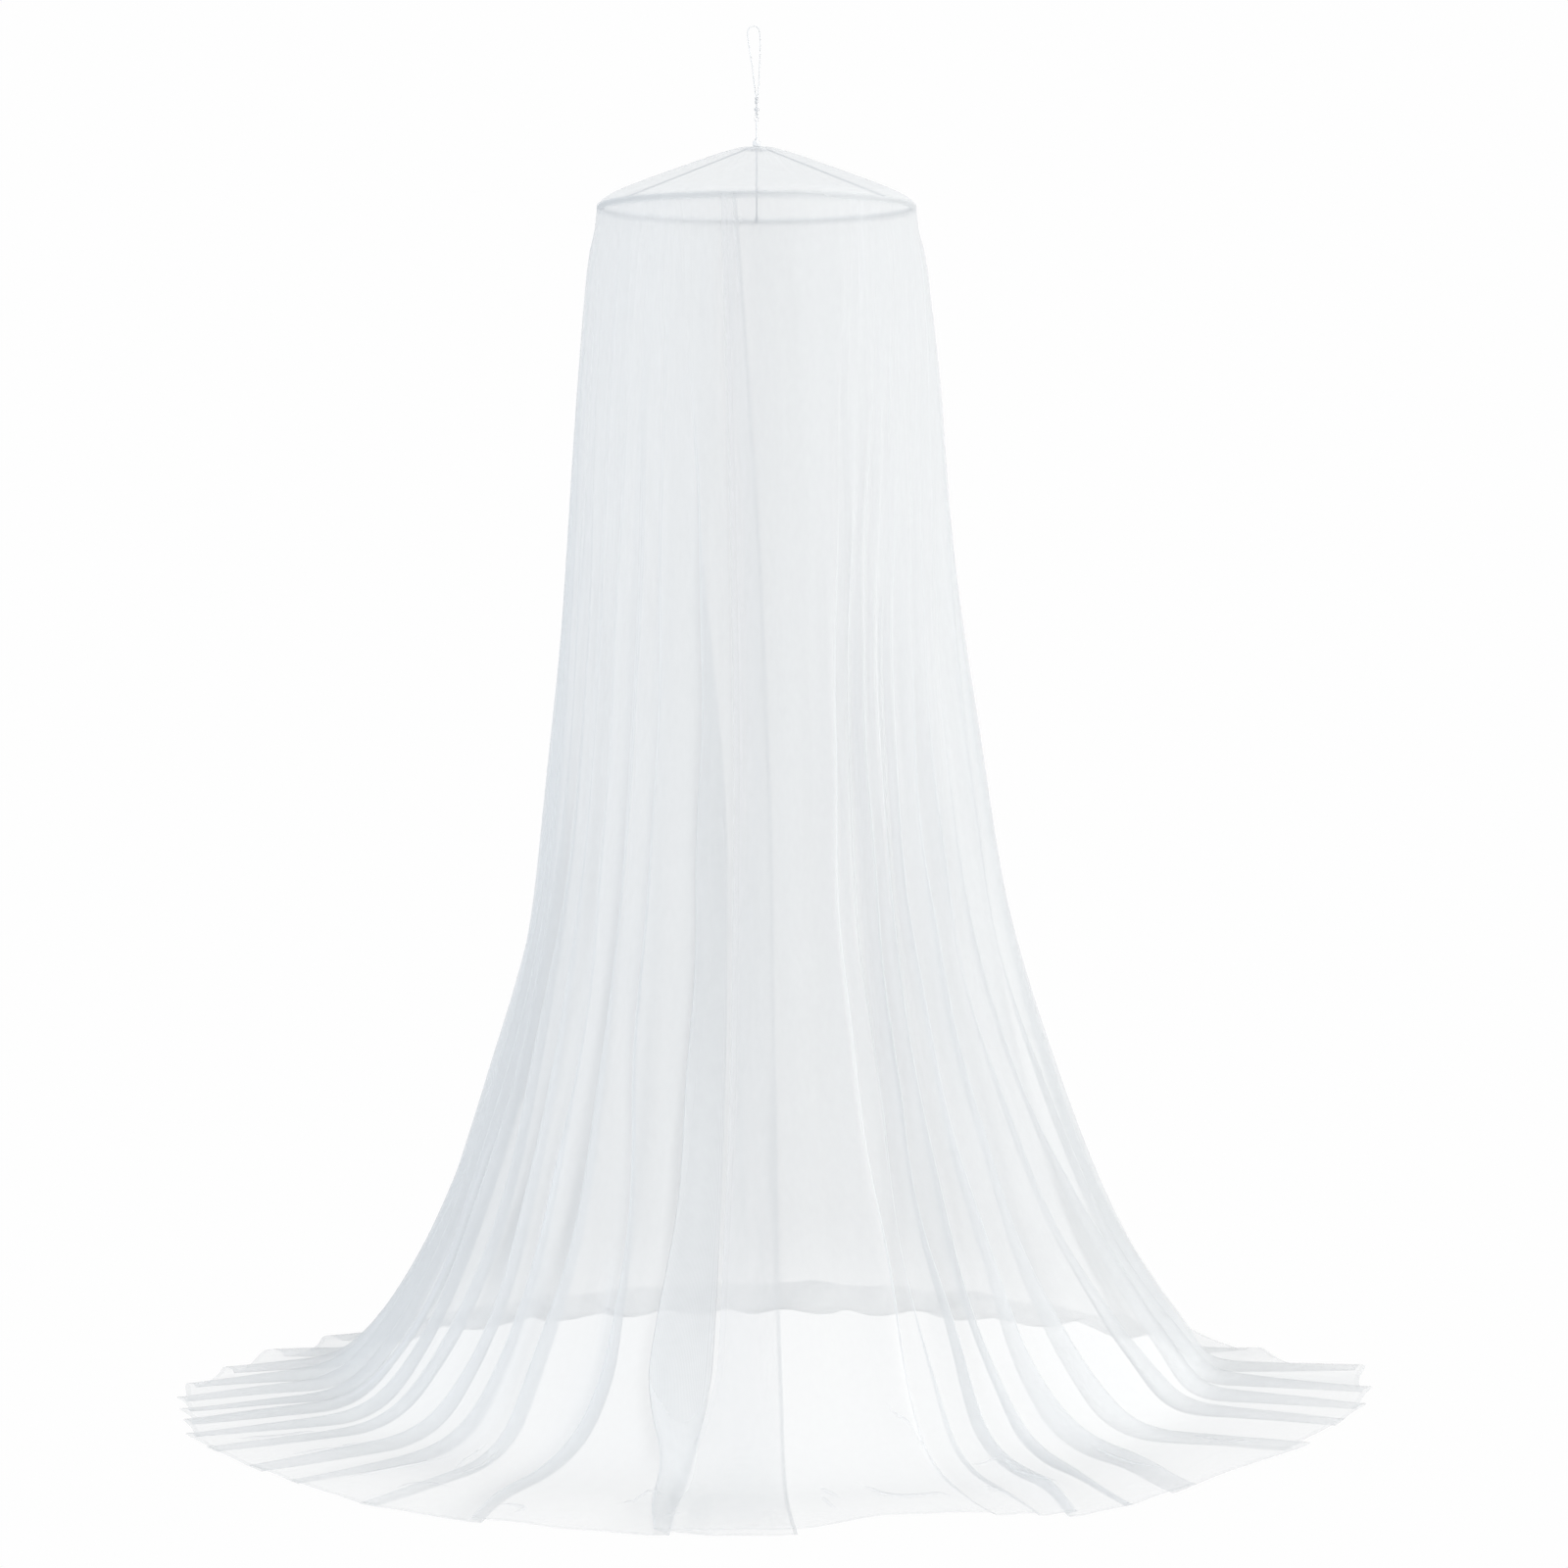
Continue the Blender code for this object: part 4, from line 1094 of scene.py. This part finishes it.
def studio():
    scene = bpy.context.scene
    scene.view_settings.view_transform = "Standard"
    scene.cycles.transparent_max_bounces = 48
    scene.cycles.diffuse_bounces = 3
    scene.cycles.max_bounces = 8
    scene.world = bpy.data.worlds.new("studio")
    scene.world.use_nodes = True
    scene.world.node_tree.nodes.clear()
    n = Nodes(scene.world.node_tree)
    ray = n.add("ShaderNodeLightPath").outputs
    seen = n.maths("MAXIMUM", ray["Is Camera Ray"], ray["Is Glossy Ray"])
    dim = n.add("ShaderNodeBackground", {"Color": (0.88, 0.94, 1.0, 1), "Strength": 0.20})
    pale = n.add("ShaderNodeBackground", {"Color": PALE, "Strength": 1.0})
    n.end(n.blend(seen, dim, pale), "ShaderNodeOutputWorld")

    bpy.ops.mesh.primitive_plane_add(size=24.0, location=(0.0, 0.0, up(0.0)))
    floor = bpy.context.object
    floor.name = "floor"
    material, n = new_finish("pale floor")
    seen = n.add("ShaderNodeLightPath").outputs["Is Camera Ray"]
    dim = n.add("ShaderNodeEmission", {"Color": (1.0, 1.0, 1.0, 1), "Strength": 0.48})
    pale = n.add("ShaderNodeEmission", {"Color": PALE, "Strength": 1.0})
    n.end(n.blend(seen, dim, pale))
    floor.data.materials.append(material)

    for lamp in LAMPS:
        softbox(*lamp)


def show(piece, slot, *nodes):
    """Puts a finished piece on the part, in place of the nodes it stands for."""
    if nodes:
        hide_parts(*nodes)
    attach(piece, "root")
    return piece


bpy.ops.object.select_all(action="DESELECT")
studio_camera()
marks = fibre_group()
finish = {name: solid_finish(name, marks, *look) for name, look in FINISHES.items()}
sheer = net_finish("white net", NET_COLOUR, marks, NET_WEAVE)
sewn = net_finish("sewn net", SEWN_COLOUR, marks, 0.0, stitched=True)

loop, route = hanging_loop(finish["white cord"])
show(loop, "cord", "hanging_loop")

studio()
wall, wall_grid = net_wall(sheer)
show(wall, "net", "net_wall")
on_wall = net_hems(wall_grid, sheer, sewn) + [floor_creases(wall_grid, sheer)]
for piece in on_wall:
    show(piece, "net")
roof = show(fine_roof(sheer), "net", "net_roof")
seam = show(seam_binding(sewn), "net")

rod, sleeve = fine_hoop(finish["white plastic"])
show(rod, "hoop", "hoop")
show(sleeve, "hoop")
# the support cords take the darker cord, whose colour is painted shade
for side, bearing in (("front", 0.0), ("right", 90.0), ("back", 180.0), ("left", 270.0)):
    cord, *ties = support_cord(side, bearing, finish["support cord painted shade"])
    show(cord, "cord", f"support_cord_{side}")
    for tie in ties:
        show(tie, "cord")
show(fine_disc(finish["white plastic"]), "fitting", "apex_disc")
show(fine_cap(finish["white plastic"]), "fitting", "apex_cap")
eye, shank = fine_pin(finish["zinc wire"])
show(eye, "pin", "eye_pin")
show(shank, "pin")
# the knots take the darker cord, whose colour is painted shade
barrel, *knots = loop_knots(finish["knot cord painted shade"])
show(barrel, "cord", "loop_knot")
for knot in knots:
    show(knot, "cord")
